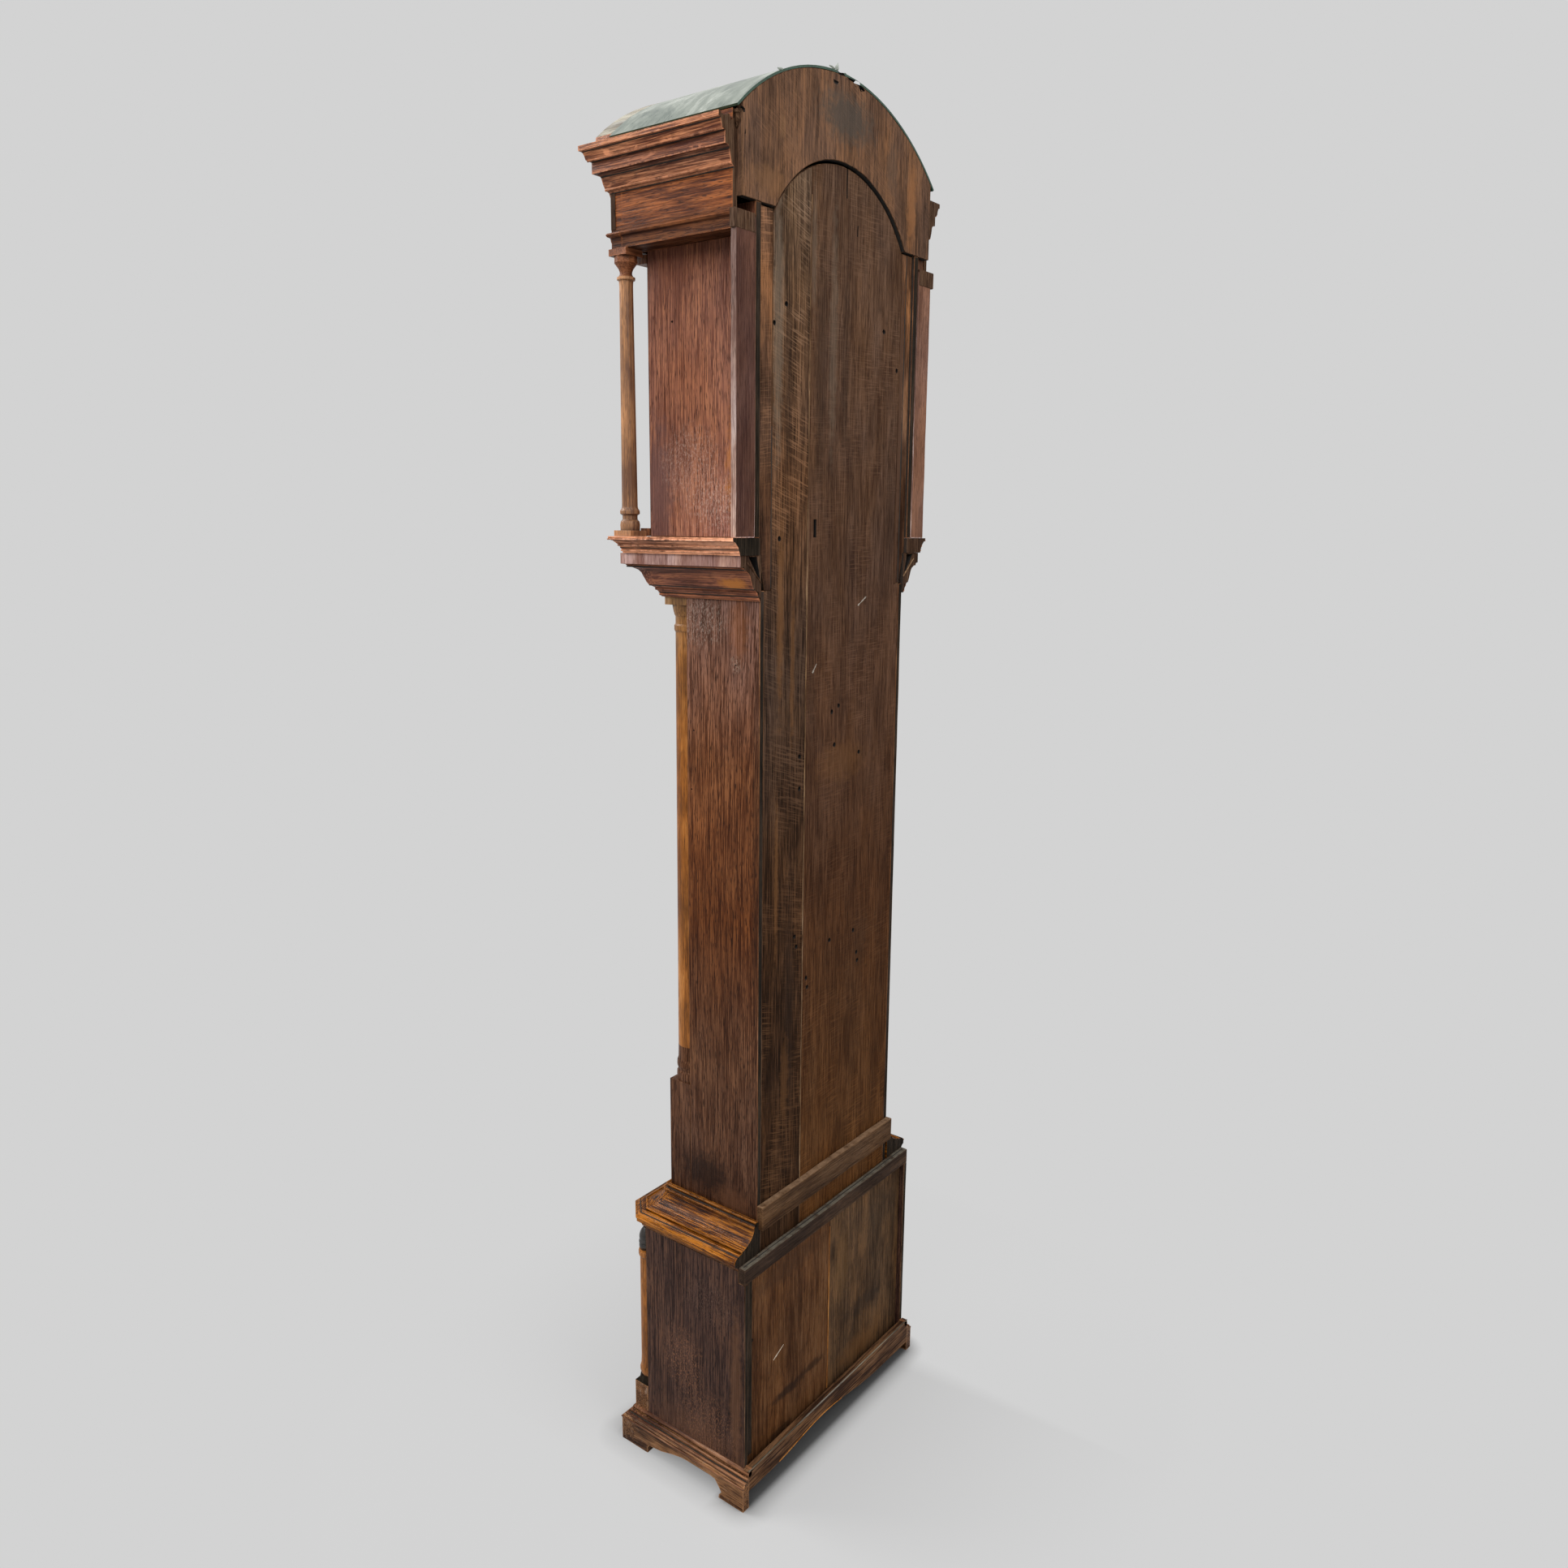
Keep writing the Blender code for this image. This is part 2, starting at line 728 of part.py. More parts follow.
# Back boards and rail of the base
for word, way in SIDES:
    finish(
        box(
            "base_back_" + word,
            (BASE_SEAM + way * GAP, way * (BASE_HALF - 0.008 - GAP)),
            wall(back_in, back_in + BASE_BACK_T),
            (Z_BASE - 0.007, rail_low - GAP),
        ),
        OAK_BACK,
    )
finish(
    box("base_back_rail", (-BASE_HALF, BASE_HALF), wall(-BASE_BACK, rail_front), (rail_low, rail_low + RAIL_H)),
    OAK_BACK,
)

# Base front panel and the base's quarter columns
base_panel_half = BASE_HALF - BASE_RECESS - GAP
finish(
    box(
        "base_front",
        (-base_panel_half, base_panel_half),
        wall(BASE_FRONT - 0.016, BASE_FRONT),
        (BASE_FOOT, Z_BASE_TOP - GAP),
    ),
    OAK_DARK,
)
base_shaft_low = Z_BASE + BASE_BLOCK_H
base_shaft_high = Z_BASE_TOP - BASE_CAP_H
for word, way in SIDES:
    top = base_shaft_high - base_shaft_low
    profile = [
        (0.0, top + 0.001),
        (BASE_R, top + 0.001),
        (BASE_R, top - 0.008),
        (BASE_R - 0.0010, top - 0.018),
        (BASE_SHAFT_R, top - 0.030),
        (BASE_SHAFT_R, top - 0.038),
        (BASE_SHAFT_R + 0.0020, top - 0.041),
        (BASE_SHAFT_R + 0.0020, top - 0.048),
        (BASE_SHAFT_R - 0.0004, top - 0.052),
        (BASE_SHAFT_R, 0.0480),
        (BASE_SHAFT_R + 0.0006, 0.0320),
        (BASE_SHAFT_R + 0.0024, 0.0270),
        (BASE_SHAFT_R + 0.0024, 0.0200),
        (BASE_SHAFT_R + 0.0006, 0.0150),
        (BASE_R - 0.0008, 0.0110),
        (BASE_R, 0.0060),
        (BASE_R - 0.0006, -0.001),
        (0.0, -0.001),
    ]
    place = upright(way * (BASE_HALF - BASE_R), ahead(BASE_FRONT - BASE_R), base_shaft_low)
    shaft = turned("base_column_" + word, profile, 16, place)
    x_in = BASE_HALF - BASE_RECESS
    keep = box(
        "keep",
        (way * (x_in + 0.0004), way * (BASE_HALF + 0.02)),
        wall(base_side_front + 0.0004, BASE_FRONT + 0.02),
        (base_shaft_low - 0.02, base_shaft_high + 0.02),
    )
    combine(shaft, keep, "INTERSECT")
    block_x = (way * (x_in + 0.0002), way * BASE_HALF)
    block_y = wall(base_side_front + 0.0003, BASE_FRONT)
    foot = box("foot", block_x, block_y, (BASE_FOOT, base_shaft_low))
    cap = box("cap", block_x, block_y, (base_shaft_high, Z_BASE_TOP - GAP))
    finish(joined(shaft, foot, cap), OAK_WARM)

# Plinth with bracket feet
PLINTH_PROFILE = [
    (0.0000, 0.0000),
    (PLINTH_OUT, 0.0000),
    (PLINTH_OUT, 0.0425),
    (0.0150, 0.0455),
    (0.0105, 0.0482),
    (0.0065, 0.0495),
    (0.0065, 0.0510),
    (0.0050, 0.0532),
    (0.0000, PLINTH_H),
]
plinth = moulding("plinth", PLINTH_PROFILE, u_run(BASE_HALF + GAP, BASE_FRONT + GAP, -PLINTH_BACK))
plank = box(
    "plank",
    (-BASE_HALF - 0.002, BASE_HALF + 0.002),
    wall(-PLINTH_BACK + 0.0004, -PLINTH_BACK + PLINTH_BACK_T),
    (0.0002, PLINTH_H + 0.0020),
)
joined(plinth, plank)
SIDE_ARCH = [
    (0.1820, -0.0100),
    (0.1820, 0.0100),
    (0.1780, 0.0155),
    (0.1500, 0.0195),
    (0.1250, 0.0270),
    (0.1050, 0.0315),
    (0.0840, 0.0330),
    (0.0450, 0.0330),
    (0.0320, 0.0310),
    (0.0240, 0.0210),
    (0.0180, 0.0125),
    (0.0235, 0.0060),
    (0.0250, -0.0100),
]
side_cut = slab("side_cut", [[(ahead(d), z) for d, z in SIDE_ARCH]], "yz", (-0.4, 0.4))
FRONT_ARCH = [
    (0.1950, -0.0100),
    (0.1950, 0.0100),
    (0.1910, 0.0155),
    (0.1600, 0.0195),
    (0.1300, 0.0270),
    (0.1000, 0.0315),
    (0.0700, 0.0330),
]
front_cut = slab("front_cut", [FRONT_ARCH + mirrored(FRONT_ARCH)], "xz", wall(0.190, 0.300))
BACK_ARCH = [(0.2050, -0.0100), (0.2050, 0.0040), (0.1500, 0.0110), (0.0700, 0.0155)]
back_cut = slab("back_cut", [BACK_ARCH + mirrored(BACK_ARCH)], "xz", wall(-0.050, -0.005))
finish(less(plinth, side_cut, front_cut, back_cut), OAK_WARM)

# Trunk door: a thin lipped face and a plug that fills the opening
hinge_x = DOOR_HALF + HINGE_R + 0.0005
hinge_d = TRUNK_DEPTH + GAP + DOOR_T / 2
door = slab("trunk_door", [door_shape(0.0)], "xz", wall(TRUNK_DEPTH + GAP, TRUNK_DEPTH + GAP + DOOR_T))
plug = slab("plug", [door_shape(PLUG_INSET)], "xz", wall(TRUNK_DEPTH + 0.001, TRUNK_DEPTH + GAP - PLUG_T))
hinge_axis = (hinge_x, ahead(hinge_d), door_low)
finish(joined(door, plug), OAK_WARM, hinge_axis)
for word, z_mid in (("upper", door_shoulder - HINGE_INSET), ("lower", door_low + HINGE_INSET)):
    z_range = (z_mid - HINGE_H / 2, z_mid + HINGE_H / 2)
    knuckle = post("trunk_hinge_" + word, HINGE_R, hinge_x, ahead(hinge_d), *z_range)
    leaf = box(
        "leaf",
        (hinge_x + 0.0010, hinge_x + 0.0220),
        wall(TRUNK_DEPTH + GAP, TRUNK_DEPTH + GAP + 0.0018),
        (z_range[0] + 0.0005, z_range[1] - 0.0005),
    )
    finish(joined(knuckle, leaf), BRASS)

# Hood base: a moulded frame, open at the back
carcase_in = CARCASE_HALF - CARCASE_T
HOOD_BASE_PROFILE = [
    (GAP - CARCASE_T, GAP),
    (0.0325, GAP),
    (0.0335, 0.0040),
    (0.0365, 0.0115),
    (0.0405, 0.0155),
    (0.0440, 0.0190),
    (HOOD_LIP, 0.0200),
    (HOOD_LIP, HOOD_BASE_H),
    (GAP - CARCASE_T, HOOD_BASE_H),
]
profile = [(out, Z_SEAT + high) for out, high in HOOD_BASE_PROFILE]
frame_front = COLUMN_D + COLUMN_BLOCK / 2 + 0.0065 - HOOD_LIP
hood_base = moulding("hood_base_frame", profile, u_run(CARCASE_HALF, frame_front, -HOOD_BACK))
hdoor_x = HDOOR_HALF - HDOOR_PIN_IN
hdoor_d = HDOOR_D - HDOOR_PIN_IN
pin_y = ahead(hdoor_d)
hole = post("hole", (HDOOR_PIN_R + FIT) / math.cos(math.pi / 12), hdoor_x, pin_y, Z_HOOD - 0.007, Z_HOOD + 0.01)
finish(less(hood_base, hole), OAK_WARM)

# Hood sides and the stiles that stand outside them at the back
for word, way in SIDES:
    finish(
        box(
            "hood_side_" + word,
            (way * carcase_in, way * CARCASE_HALF),
            wall(-HOOD_BACK + 0.001, CARCASE_FRONT),
            (Z_HOOD + GAP, Z_YOKE - 0.0005),
        ),
        OAK_DARK,
    )
    finish(
        box(
            "hood_stile_" + word,
            (way * (CARCASE_HALF + GAP), way * STILE_OUT),
            wall(-HOOD_BACK, -HOOD_BACK + STILE_T),
            (Z_HOOD + GAP, Z_ARCHITRAVE + STILE_RISE),
        ),
        OAK_BACK,
    )

# Frieze with the architrave moulding on its lower edge
skin_in = ROOF_R - ROOF_T - GAP
frieze_top = Z_ROOF_C + math.sqrt(skin_in ** 2 - HOOD_HALF ** 2)
ARCHITRAVE = [
    (0.0000, -0.0237),
    (0.0005, -0.0150),
    (0.0013, -0.0094),
    (0.0045, -0.0080),
    (0.0060, -0.0054),
    (0.0044, -0.0032),
    (0.0000, 0.0000),
]
soffit = Z_ARCHITRAVE + GAP
for word, way in SIDES:
    outline = [(CARCASE_HALF + GAP, soffit)]
    outline += [(HOOD_HALF + out, Z_FRIEZE + high) for out, high in ARCHITRAVE]
    outline += [
        (HOOD_HALF, frieze_top),
        (HOOD_HALF - FRIEZE_T, frieze_top),
        (HOOD_HALF - FRIEZE_T, soffit + 0.010),
        (CARCASE_HALF + GAP, soffit + 0.010),
    ]
    outline = [(way * x, z) for x, z in outline]
    limits = wall(STILE_T - HOOD_BACK + GAP, HOOD_FRONT - HOOD_FRONT_T - GAP)
    finish(slab("hood_frieze_" + word, [outline], "xz", limits), OAK_WARM)

# Arched front board, with the architrave returned round its corners
front_outline = arched_board(HOOD_HALF, soffit, skin_in, Z_ROOF_C, HDOOR_R + HDOOR_ARCH_GAP, Z_YOKE_C, 24)
hood_front = slab("hood_front", [front_outline], "xz", wall(HOOD_FRONT - HOOD_FRONT_T, HOOD_FRONT))
for way in (1.0, -1.0):
    profile = [(-0.004, Z_FRIEZE - 0.0230)]
    profile += [(out, Z_FRIEZE + high) for out, high in ARCHITRAVE[1:-1]]
    profile += [(-0.004, Z_FRIEZE - 0.0005)]
    out_x, out_y = (way, 0.0), (0.0, -1.0)
    stations = [
        (way * HOOD_HALF, ahead(HOOD_FRONT - HOOD_FRONT_T + 0.0005), out_x),
        (way * HOOD_HALF, ahead(HOOD_FRONT), mitre(out_x, out_y)),
        (way * (CARCASE_HALF + 0.004), ahead(HOOD_FRONT), out_y),
    ]
    joined(hood_front, moulding("return", profile, stations))
shoulder = Z_ARCHITRAVE - 0.003
top_hole = post("hole", (HDOOR_PIN_R + FIT) / math.cos(math.pi / 12), hdoor_x, pin_y, soffit - 0.01, soffit + 0.007)
finish(less(hood_front, top_hole), OAK_WARM)

# Cornice along both sides, returned round the corners into the arch
CORNICE = [
    (0.0000, 0.0000),
    (0.0022, 0.0012),
    (0.0051, 0.0049),
    (0.0073, 0.0120),
    (0.0088, 0.0202),
    (0.0125, 0.0240),
    (0.0176, 0.0240),
    (0.0176, 0.0393),
    (0.0196, 0.0393),
    (0.0235, 0.0415),
    (0.0248, 0.0470),
    (0.0268, 0.0515),
    (CORNICE_OUT - GAP, 0.0525),
    (CORNICE_OUT - GAP, CORNICE_H),
    (0.0000, CORNICE_H),
]
arch_half = HOOD_HALF - 0.0040
run = [(out, Z_CORNICE + high) for out, high in CORNICE]
out_y = (0.0, -1.0)
y_face = ahead(HOOD_FRONT + GAP)


def cornice_side(way):
    """Sections of one side run, from its back end to just past the front corner."""
    out_x = (way, 0.0)
    sections = []
    for x, y, (mx, my) in (
        (way * (HOOD_HALF + GAP), ahead(0.002), out_x),
        (way * (HOOD_HALF + GAP), y_face, mitre(out_x, out_y)),
        (way * (HOOD_HALF - 0.0005), y_face, out_y),
    ):
        sections.append([(x + mx * out, y + my * out, high) for out, high in run])
    return sections


sections = cornice_side(-1.0)
for i in range(23):
    share = 2.0 * i / 22 - 1.0
    section = []
    for out, high in CORNICE:
        radius = ROOF_R - CORNICE_H + high
        angle = share * math.asin(arch_half / radius)
        section.append((radius * math.sin(angle), y_face - out, Z_ROOF_C + radius * math.cos(angle)))
    sections.append(section)
sections += reversed(cornice_side(1.0))
cornice = loft("hood_cornice", sections)
finish(cornice, OAK_WARM)

# Roof skin and the yoke board under its back edge
roof_outline = arc(Z_ROOF_C, ROOF_R, HOOD_HALF + 0.001, -HOOD_HALF - 0.001, 28)
roof_outline += arc(Z_ROOF_C, ROOF_R - ROOF_T, -HOOD_HALF + 0.001, HOOD_HALF - 0.001, 28)
finish(slab("hood_roof", [roof_outline], "xz", wall(-HOOD_BACK, HOOD_FRONT)), ROOF_SKIN)
yoke_half = HOOD_HALF - FRIEZE_T - GAP
yoke_outline = arched_board(yoke_half, Z_YOKE, skin_in, Z_ROOF_C, YOKE_R, Z_YOKE_C, 24)
finish(slab("hood_yoke", [yoke_outline], "xz", wall(-HOOD_BACK, -HOOD_BACK + YOKE_T)), OAK_BACK)

# Free-standing hood columns with square blocks at both ends
for word, way in SIDES:
    block = 0.0085
    top = HOOD_OPEN_H
    profile = [
        (0.0, top - 0.0080),
        (0.0165, top - 0.0080),
        (0.0165, top - 0.0175),
        (0.0150, top - 0.0190),
        (0.0105, top - 0.0250),
        (0.0090, top - 0.0290),
        (0.0090, top - 0.0325),
        (0.0105, top - 0.0350),
        (0.0133, top - 0.0365),
        (0.0133, top - 0.0395),
        (0.0105, top - 0.0410),
        (0.0100, top - 0.0480),
        (0.0116, 0.1500),
        (0.0118, 0.0430),
        (0.0125, 0.0400),
        (0.0148, 0.0365),
        (0.0148, 0.0325),
        (0.0113, 0.0300),
        (0.0113, 0.0245),
        (0.0140, 0.0215),
        (0.0150, 0.0165),
        (0.0146, 0.0110),
        (0.0146, block - 0.0005),
        (0.0, block - 0.0005),
    ]
    x, y = way * COLUMN_X, ahead(COLUMN_D)
    shaft = turned("hood_column_" + word, profile, 12, upright(x, y, Z_HOOD))
    half = COLUMN_BLOCK / 2
    foot = box("foot", (x - half, x + half), (y - half, y + half), (Z_HOOD + GAP, Z_HOOD + block))
    cap = box("cap", (x - half, x + half), (y - half, y + half), (Z_ARCHITRAVE - 0.009, Z_ARCHITRAVE))
    finish(joined(shaft, foot, cap), OAK_GOLD)

# Mask round the dial
mask_back = DIAL_D + DIAL_T + 0.0010
opening = break_arch(
    DIAL_HALF - MASK_LAP,
    Z_DIAL + MASK_LAP,
    Z_DIAL_SPRING - MASK_LAP,
    Z_DIAL_SPRING - ARCH_DROP,
    DIAL_ARCH_R - MASK_LAP,
    16,
)
mask_outline = break_arch(carcase_in - GAP, Z_HOOD + GAP, Z_YOKE - 0.006, Z_YOKE_C, YOKE_R - 0.004, 16)
finish(slab("dial_mask", [mask_outline, opening], "xz", wall(mask_back, mask_back + MASK_T)), OAK_WARM)

# Hood door with its pivot pins and stopped chamfers, and the glass in it
pane_low = Z_HOOD + GLASS_SILL
pane_spring = Z_DIAL_SPRING + 0.007


def pane_shape(grow):
    return break_arch(
        GLASS_HALF + grow,
        pane_low - grow,
        pane_spring + grow,
        pane_spring - ARCH_DROP,
        GLASS_R + grow,
        16,
    )


hdoor_outline = break_arch(HDOOR_HALF, Z_HOOD + 0.0007, shoulder, Z_YOKE_C, HDOOR_R, 20)
hdoor = slab("hood_door", [hdoor_outline, pane_shape(0.0)], "xz", wall(HDOOR_D - HDOOR_T, HDOOR_D))
low_pin = post("pin", HDOOR_PIN_R, hdoor_x, pin_y, Z_HOOD - 0.006, Z_HOOD + 0.004)
high_pin = post("pin", HDOOR_PIN_R, hdoor_x, pin_y, shoulder - 0.004, soffit + 0.006)
hdoor_axis = (hdoor_x, pin_y, Z_HOOD)
door_back, door_face = wall(HDOOR_D - HDOOR_T, HDOOR_D)
for way in (1.0, -1.0):
    corner = [
        (way * (HDOOR_HALF - 0.0015), door_back),
        (way * (HDOOR_HALF + 0.0050), door_back),
        (way * (HDOOR_HALF + 0.0050), door_face - 0.0010),
        (way * (HDOOR_HALF - HDOOR_CHAMFER), door_face - 0.0010),
    ]
    heights = (Z_HOOD + HDOOR_CHAMFER_STOP, shoulder - HDOOR_CHAMFER_STOP)
    less(hdoor, slab("chamfer", [corner], "xy", heights))
finish(joined(hdoor, low_pin, high_pin), OAK_WARM, hdoor_axis)
glass_d = HDOOR_D - HDOOR_T / 2
pane = slab("hood_glass", [pane_shape(-GAP)], "xz", wall(glass_d - GLASS_T / 2, glass_d + GLASS_T / 2))
finish(pane, PANE, hdoor_axis)

# Where the arbors stand, as (x, z)
great_pinion_span = GREAT_MODULE * (GREAT_TEETH + CENTRE_LEAVES) / 2
barrel_z = Z_CENTRE - math.sqrt(great_pinion_span ** 2 - BARREL_X ** 2)
third_span = TRAIN_MODULE * (CENTRE_TEETH + THIRD_LEAVES) / 2
third_at = (-THIRD_X, Z_CENTRE + math.sqrt(third_span ** 2 - THIRD_X ** 2))
escape_span = TRAIN_MODULE * (THIRD_TEETH + ESCAPE_LEAVES) / 2
escape_z = third_at[1] + math.sqrt(escape_span ** 2 - THIRD_X ** 2)
anchor_z = escape_z + ANCHOR_RISE
hammer_at = (-0.0500, Z_PLATES + PLATE_H - 0.0150)
BARREL_ARBOR_R = 0.0040

# Seatboard with a slot for each line, which leaves the left side of its barrel
line_reach = DRUM_R + LINE_R + GAP
line_d = DRUM_D + DRUM_L / 2
loops = [
    [
        (-TRUNK_HALF, ahead(SEAT_FRONT_D)),
        (TRUNK_HALF, ahead(SEAT_FRONT_D)),
        (TRUNK_HALF, ahead(SEAT_BACK_D)),
        (-TRUNK_HALF, ahead(SEAT_BACK_D)),
    ]
]
for way in (1.0, -1.0):
    near, far = ahead(line_d + 0.012), ahead(line_d - 0.012)
    left, right = way * BARREL_X - line_reach - 0.006, way * BARREL_X - line_reach + 0.006
    loops.append([(left, near), (right, near), (right, far), (left, far)])
finish(slab("seatboard", loops, "xy", (Z_SEATBOARD, Z_SEATBOARD + SEAT_T)), OAK_RAW)

# Movement plates
plate_holes = [
    (0.0, Z_CENTRE, 0.0022),
    (BARREL_X, barrel_z, BARREL_ARBOR_R),
    (-BARREL_X, barrel_z, BARREL_ARBOR_R),
    (third_at[0], third_at[1], ARBOR_R),
    (0.0, escape_z, ARBOR_R),
    (0.0, anchor_z, ARBOR_R),
    (hammer_at[0], hammer_at[1], ARBOR_R),
]
plate_outline = [
    (-PLATE_HALF, Z_PLATES),
    (PLATE_HALF, Z_PLATES),
    (PLATE_HALF, Z_PLATES + PLATE_H),
    (-PLATE_HALF, Z_PLATES + PLATE_H),
]
loops = [plate_outline] + [circle(x, z, r + FIT, 8) for x, z, r in plate_holes]
plate = slab("front_plate", loops, "xz", wall(FRONT_PLATE_D, FRONT_PLATE_D + PLATE_T))
finish(plate, BRASS)
back_plate = slab("back_plate", loops, "xz", wall(BACK_PLATE_D, BACK_PLATE_D + PLATE_T))
for x in (-0.054, 0.054):
    for z in (Z_PLATES + 0.012, Z_PLATES + PLATE_H - 0.032):
        start, end = BACK_PLATE_D + PLATE_T - 0.001, FRONT_PLATE_D - GAP
        joined(back_plate, rod("pillar", PILLAR_R, x, z, start, end, 8))
cock_low = anchor_z + ARBOR_R + 0.0009
cock = box("cock", (-0.022, 0.022), wall(PENDULUM_D - 0.007, BACK_PLATE_D + 0.001), (cock_low, cock_low + 0.009))
finish(joined(back_plate, cock), BRASS)

# Going barrel and its great wheel, which a click lets it turn against when it is wound
pivot_end = BACK_PLATE_D + 0.0004


def barrel(name, x):
    profile = [
        (0.0, DIAL_D - 0.002),
        (0.0030, DIAL_D - 0.002),
        (0.0030, FRONT_PLATE_D + 0.012),
        (BARREL_ARBOR_R, FRONT_PLATE_D + 0.011),
        (BARREL_ARBOR_R, DRUM_D + DRUM_L + 0.0030),
        (DRUM_R + 0.0032, DRUM_D + DRUM_L + 0.0030),
        (DRUM_R + 0.0032, DRUM_D + DRUM_L + 0.0010),
        (DRUM_R, DRUM_D + DRUM_L + 0.0010),
        (DRUM_R, DRUM_D),
        (0.0200, DRUM_D),
        (0.0200, DRUM_D - 0.0012),
        (BARREL_ARBOR_R, DRUM_D - 0.0012),
        (BARREL_ARBOR_R, pivot_end),
        (0.0, pivot_end),
    ]
    return finish(turned(name, profile, 14, shaft_place(x, barrel_z)), BRASS, (x, BACK, barrel_z))


barrel("going_barrel", BARREL_X)
barrel("strike_barrel", -BARREL_X)
to_centre = math.atan2(Z_CENTRE - barrel_z, -BARREL_X)
great_d = DRUM_D - 0.0012 - GAP - 0.0030
loops = [
    wheel_outline(BARREL_X, barrel_z, GREAT_TEETH, GREAT_MODULE, to_centre),
    circle(BARREL_X, barrel_z, BARREL_ARBOR_R + FIT, 12),
]
great = slab("great_wheel", loops, "xz", wall(great_d, great_d + 0.0030))
finish(great, BRASS, (BARREL_X, BACK, barrel_z))

# Centre arbor: pinion, wheel and the front pivot that carries the minute hand
minute_d = DIAL_D + DIAL_T + 0.0075
centre_wheel_d = BACK_PLATE_D + PLATE_T + 0.0030
centre = rod("centre_wheel", 0.0020, 0.0, Z_CENTRE, pivot_end, minute_d + 0.0030, 10)
pinion = slab(
    "pinion",
    [leaf_outline(0.0, Z_CENTRE, CENTRE_LEAVES, GREAT_MODULE, to_centre + math.pi)],
    "xz",
    wall(great_d - 0.0007, great_d + 0.0045),
)
to_third = math.atan2(third_at[1] - Z_CENTRE, third_at[0])
teeth = slab(
    "teeth",
    [wheel_outline(0.0, Z_CENTRE, CENTRE_TEETH, TRAIN_MODULE, to_third)],
    "xz",
    wall(centre_wheel_d, centre_wheel_d + WHEEL_T),
)
finish(joined(centre, pinion, teeth), BRASS, (0.0, BACK, Z_CENTRE))

# Third wheel
third_wheel_d = centre_wheel_d + WHEEL_T + 0.0011
third = rod("third_wheel", ARBOR_R, third_at[0], third_at[1], pivot_end, FRONT_PLATE_D + PLATE_T - 0.0004)
pinion = slab(
    "pinion",
    [leaf_outline(*third_at, THIRD_LEAVES, TRAIN_MODULE, to_third + math.pi)],
    "xz",
    wall(centre_wheel_d - 0.0012, centre_wheel_d + WHEEL_T + 0.0014),
)
to_escape = math.atan2(escape_z - third_at[1], -third_at[0])
teeth = slab(
    "teeth",
    [wheel_outline(*third_at, THIRD_TEETH, TRAIN_MODULE, to_escape)],
    "xz",
    wall(third_wheel_d, third_wheel_d + WHEEL_T),
)
finish(joined(third, pinion, teeth), BRASS, (third_at[0], BACK, third_at[1]))

# Escape wheel with thirty pointed teeth
escape_d = 0.1090
escape = rod("escape_wheel", ARBOR_R, 0.0, escape_z, pivot_end, FRONT_PLATE_D + PLATE_T - 0.0004)
pinion = slab(
    "pinion",
    [leaf_outline(0.0, escape_z, ESCAPE_LEAVES, TRAIN_MODULE, to_escape + math.pi)],
    "xz",
    wall(third_wheel_d - 0.0008, third_wheel_d + WHEEL_T + 0.0012),
)
points = []
for i in range(ESCAPE_TEETH):
    for turn, radius in ((0.0, ESCAPE_R), (0.16, ESCAPE_R - 0.0030), (0.78, ESCAPE_R - 0.0030)):
        angle = 2 * math.pi * (i + turn) / ESCAPE_TEETH
        points.append((radius * math.cos(angle), escape_z + radius * math.sin(angle)))
teeth = slab("teeth", [points], "xz", wall(escape_d, escape_d + WHEEL_T))
finish(joined(escape, pinion, teeth), BRASS, (0.0, BACK, escape_z))

# Anchor: arbor, pallets and the crutch that drives the pendulum
anchor = rod("anchor", ARBOR_R, 0.0, anchor_z, 0.0665, FRONT_PLATE_D + PLATE_T - 0.0004)
half = [
    (0.0000, anchor_z + 0.0040),
    (0.0050, anchor_z + 0.0025),
    (0.0150, anchor_z - 0.0090),
    (0.0205, escape_z + 0.0120),
    (0.0160, escape_z + 0.0103),
    (0.0125, anchor_z - 0.0120),
    (0.0040, anchor_z - 0.0040),
]
arms = slab("arms", [half + mirrored(half[1:])], "xz", wall(escape_d - 0.0003, escape_d + 0.0022))
crutch_low = anchor_z - 0.1250
stem = box("stem", (-0.0022, 0.0022), wall(0.0668, 0.0692), (crutch_low + 0.0030, anchor_z + 0.0010))
bridge = box("bridge", (-0.0056, 0.0056), wall(0.0664, 0.0696), (crutch_low, crutch_low + 0.0050))
prongs = []
for way in (1.0, -1.0):
    reach = (way * (ROD_R + GAP), way * (ROD_R + 0.0024))
    prongs.append(box("prong", reach, wall(PENDULUM_D - 0.0040, 0.0690), (crutch_low + 0.0004, crutch_low + 0.0046)))
finish(joined(anchor, arms, stem, bridge, *prongs), STEEL, (0.0, BACK, anchor_z))

# Pendulum: suspension, rod, bob and rating nut
bob_z = anchor_z - PENDULUM_L
top = cock_low - GAP
profile = [
    (0.0, top),
    (0.0013, top),
    (0.0013, anchor_z - 0.0600),
    (ROD_R, anchor_z - 0.0620),
    (ROD_R, bob_z - BOB_R - 0.0060),
    (0.0080, bob_z - BOB_R - 0.0065),
    (0.0080, bob_z - BOB_R - 0.0125),
    (ROD_R, bob_z - BOB_R - 0.0130),
    (ROD_R, bob_z - BOB_R - 0.0200),
    (0.0, bob_z - BOB_R - 0.0200),
]
pendulum = turned("pendulum", profile, 10, upright(0.0, ahead(PENDULUM_D)))
lens = [(0.0, BOB_T), (BOB_R * 0.45, BOB_T * 0.86), (BOB_R * 0.8, BOB_T * 0.48), (BOB_R, 0.0015)]
lens += [(r, -h) for r, h in reversed(lens)]
place = Matrix.Translation((0.0, -PENDULUM_D, 0.0)) @ shaft_place(0.0, bob_z)
bob = turned("bob", lens, 20, place)
finish(joined(pendulum, bob), BRASS, (0.0, ahead(PENDULUM_D), anchor_z))

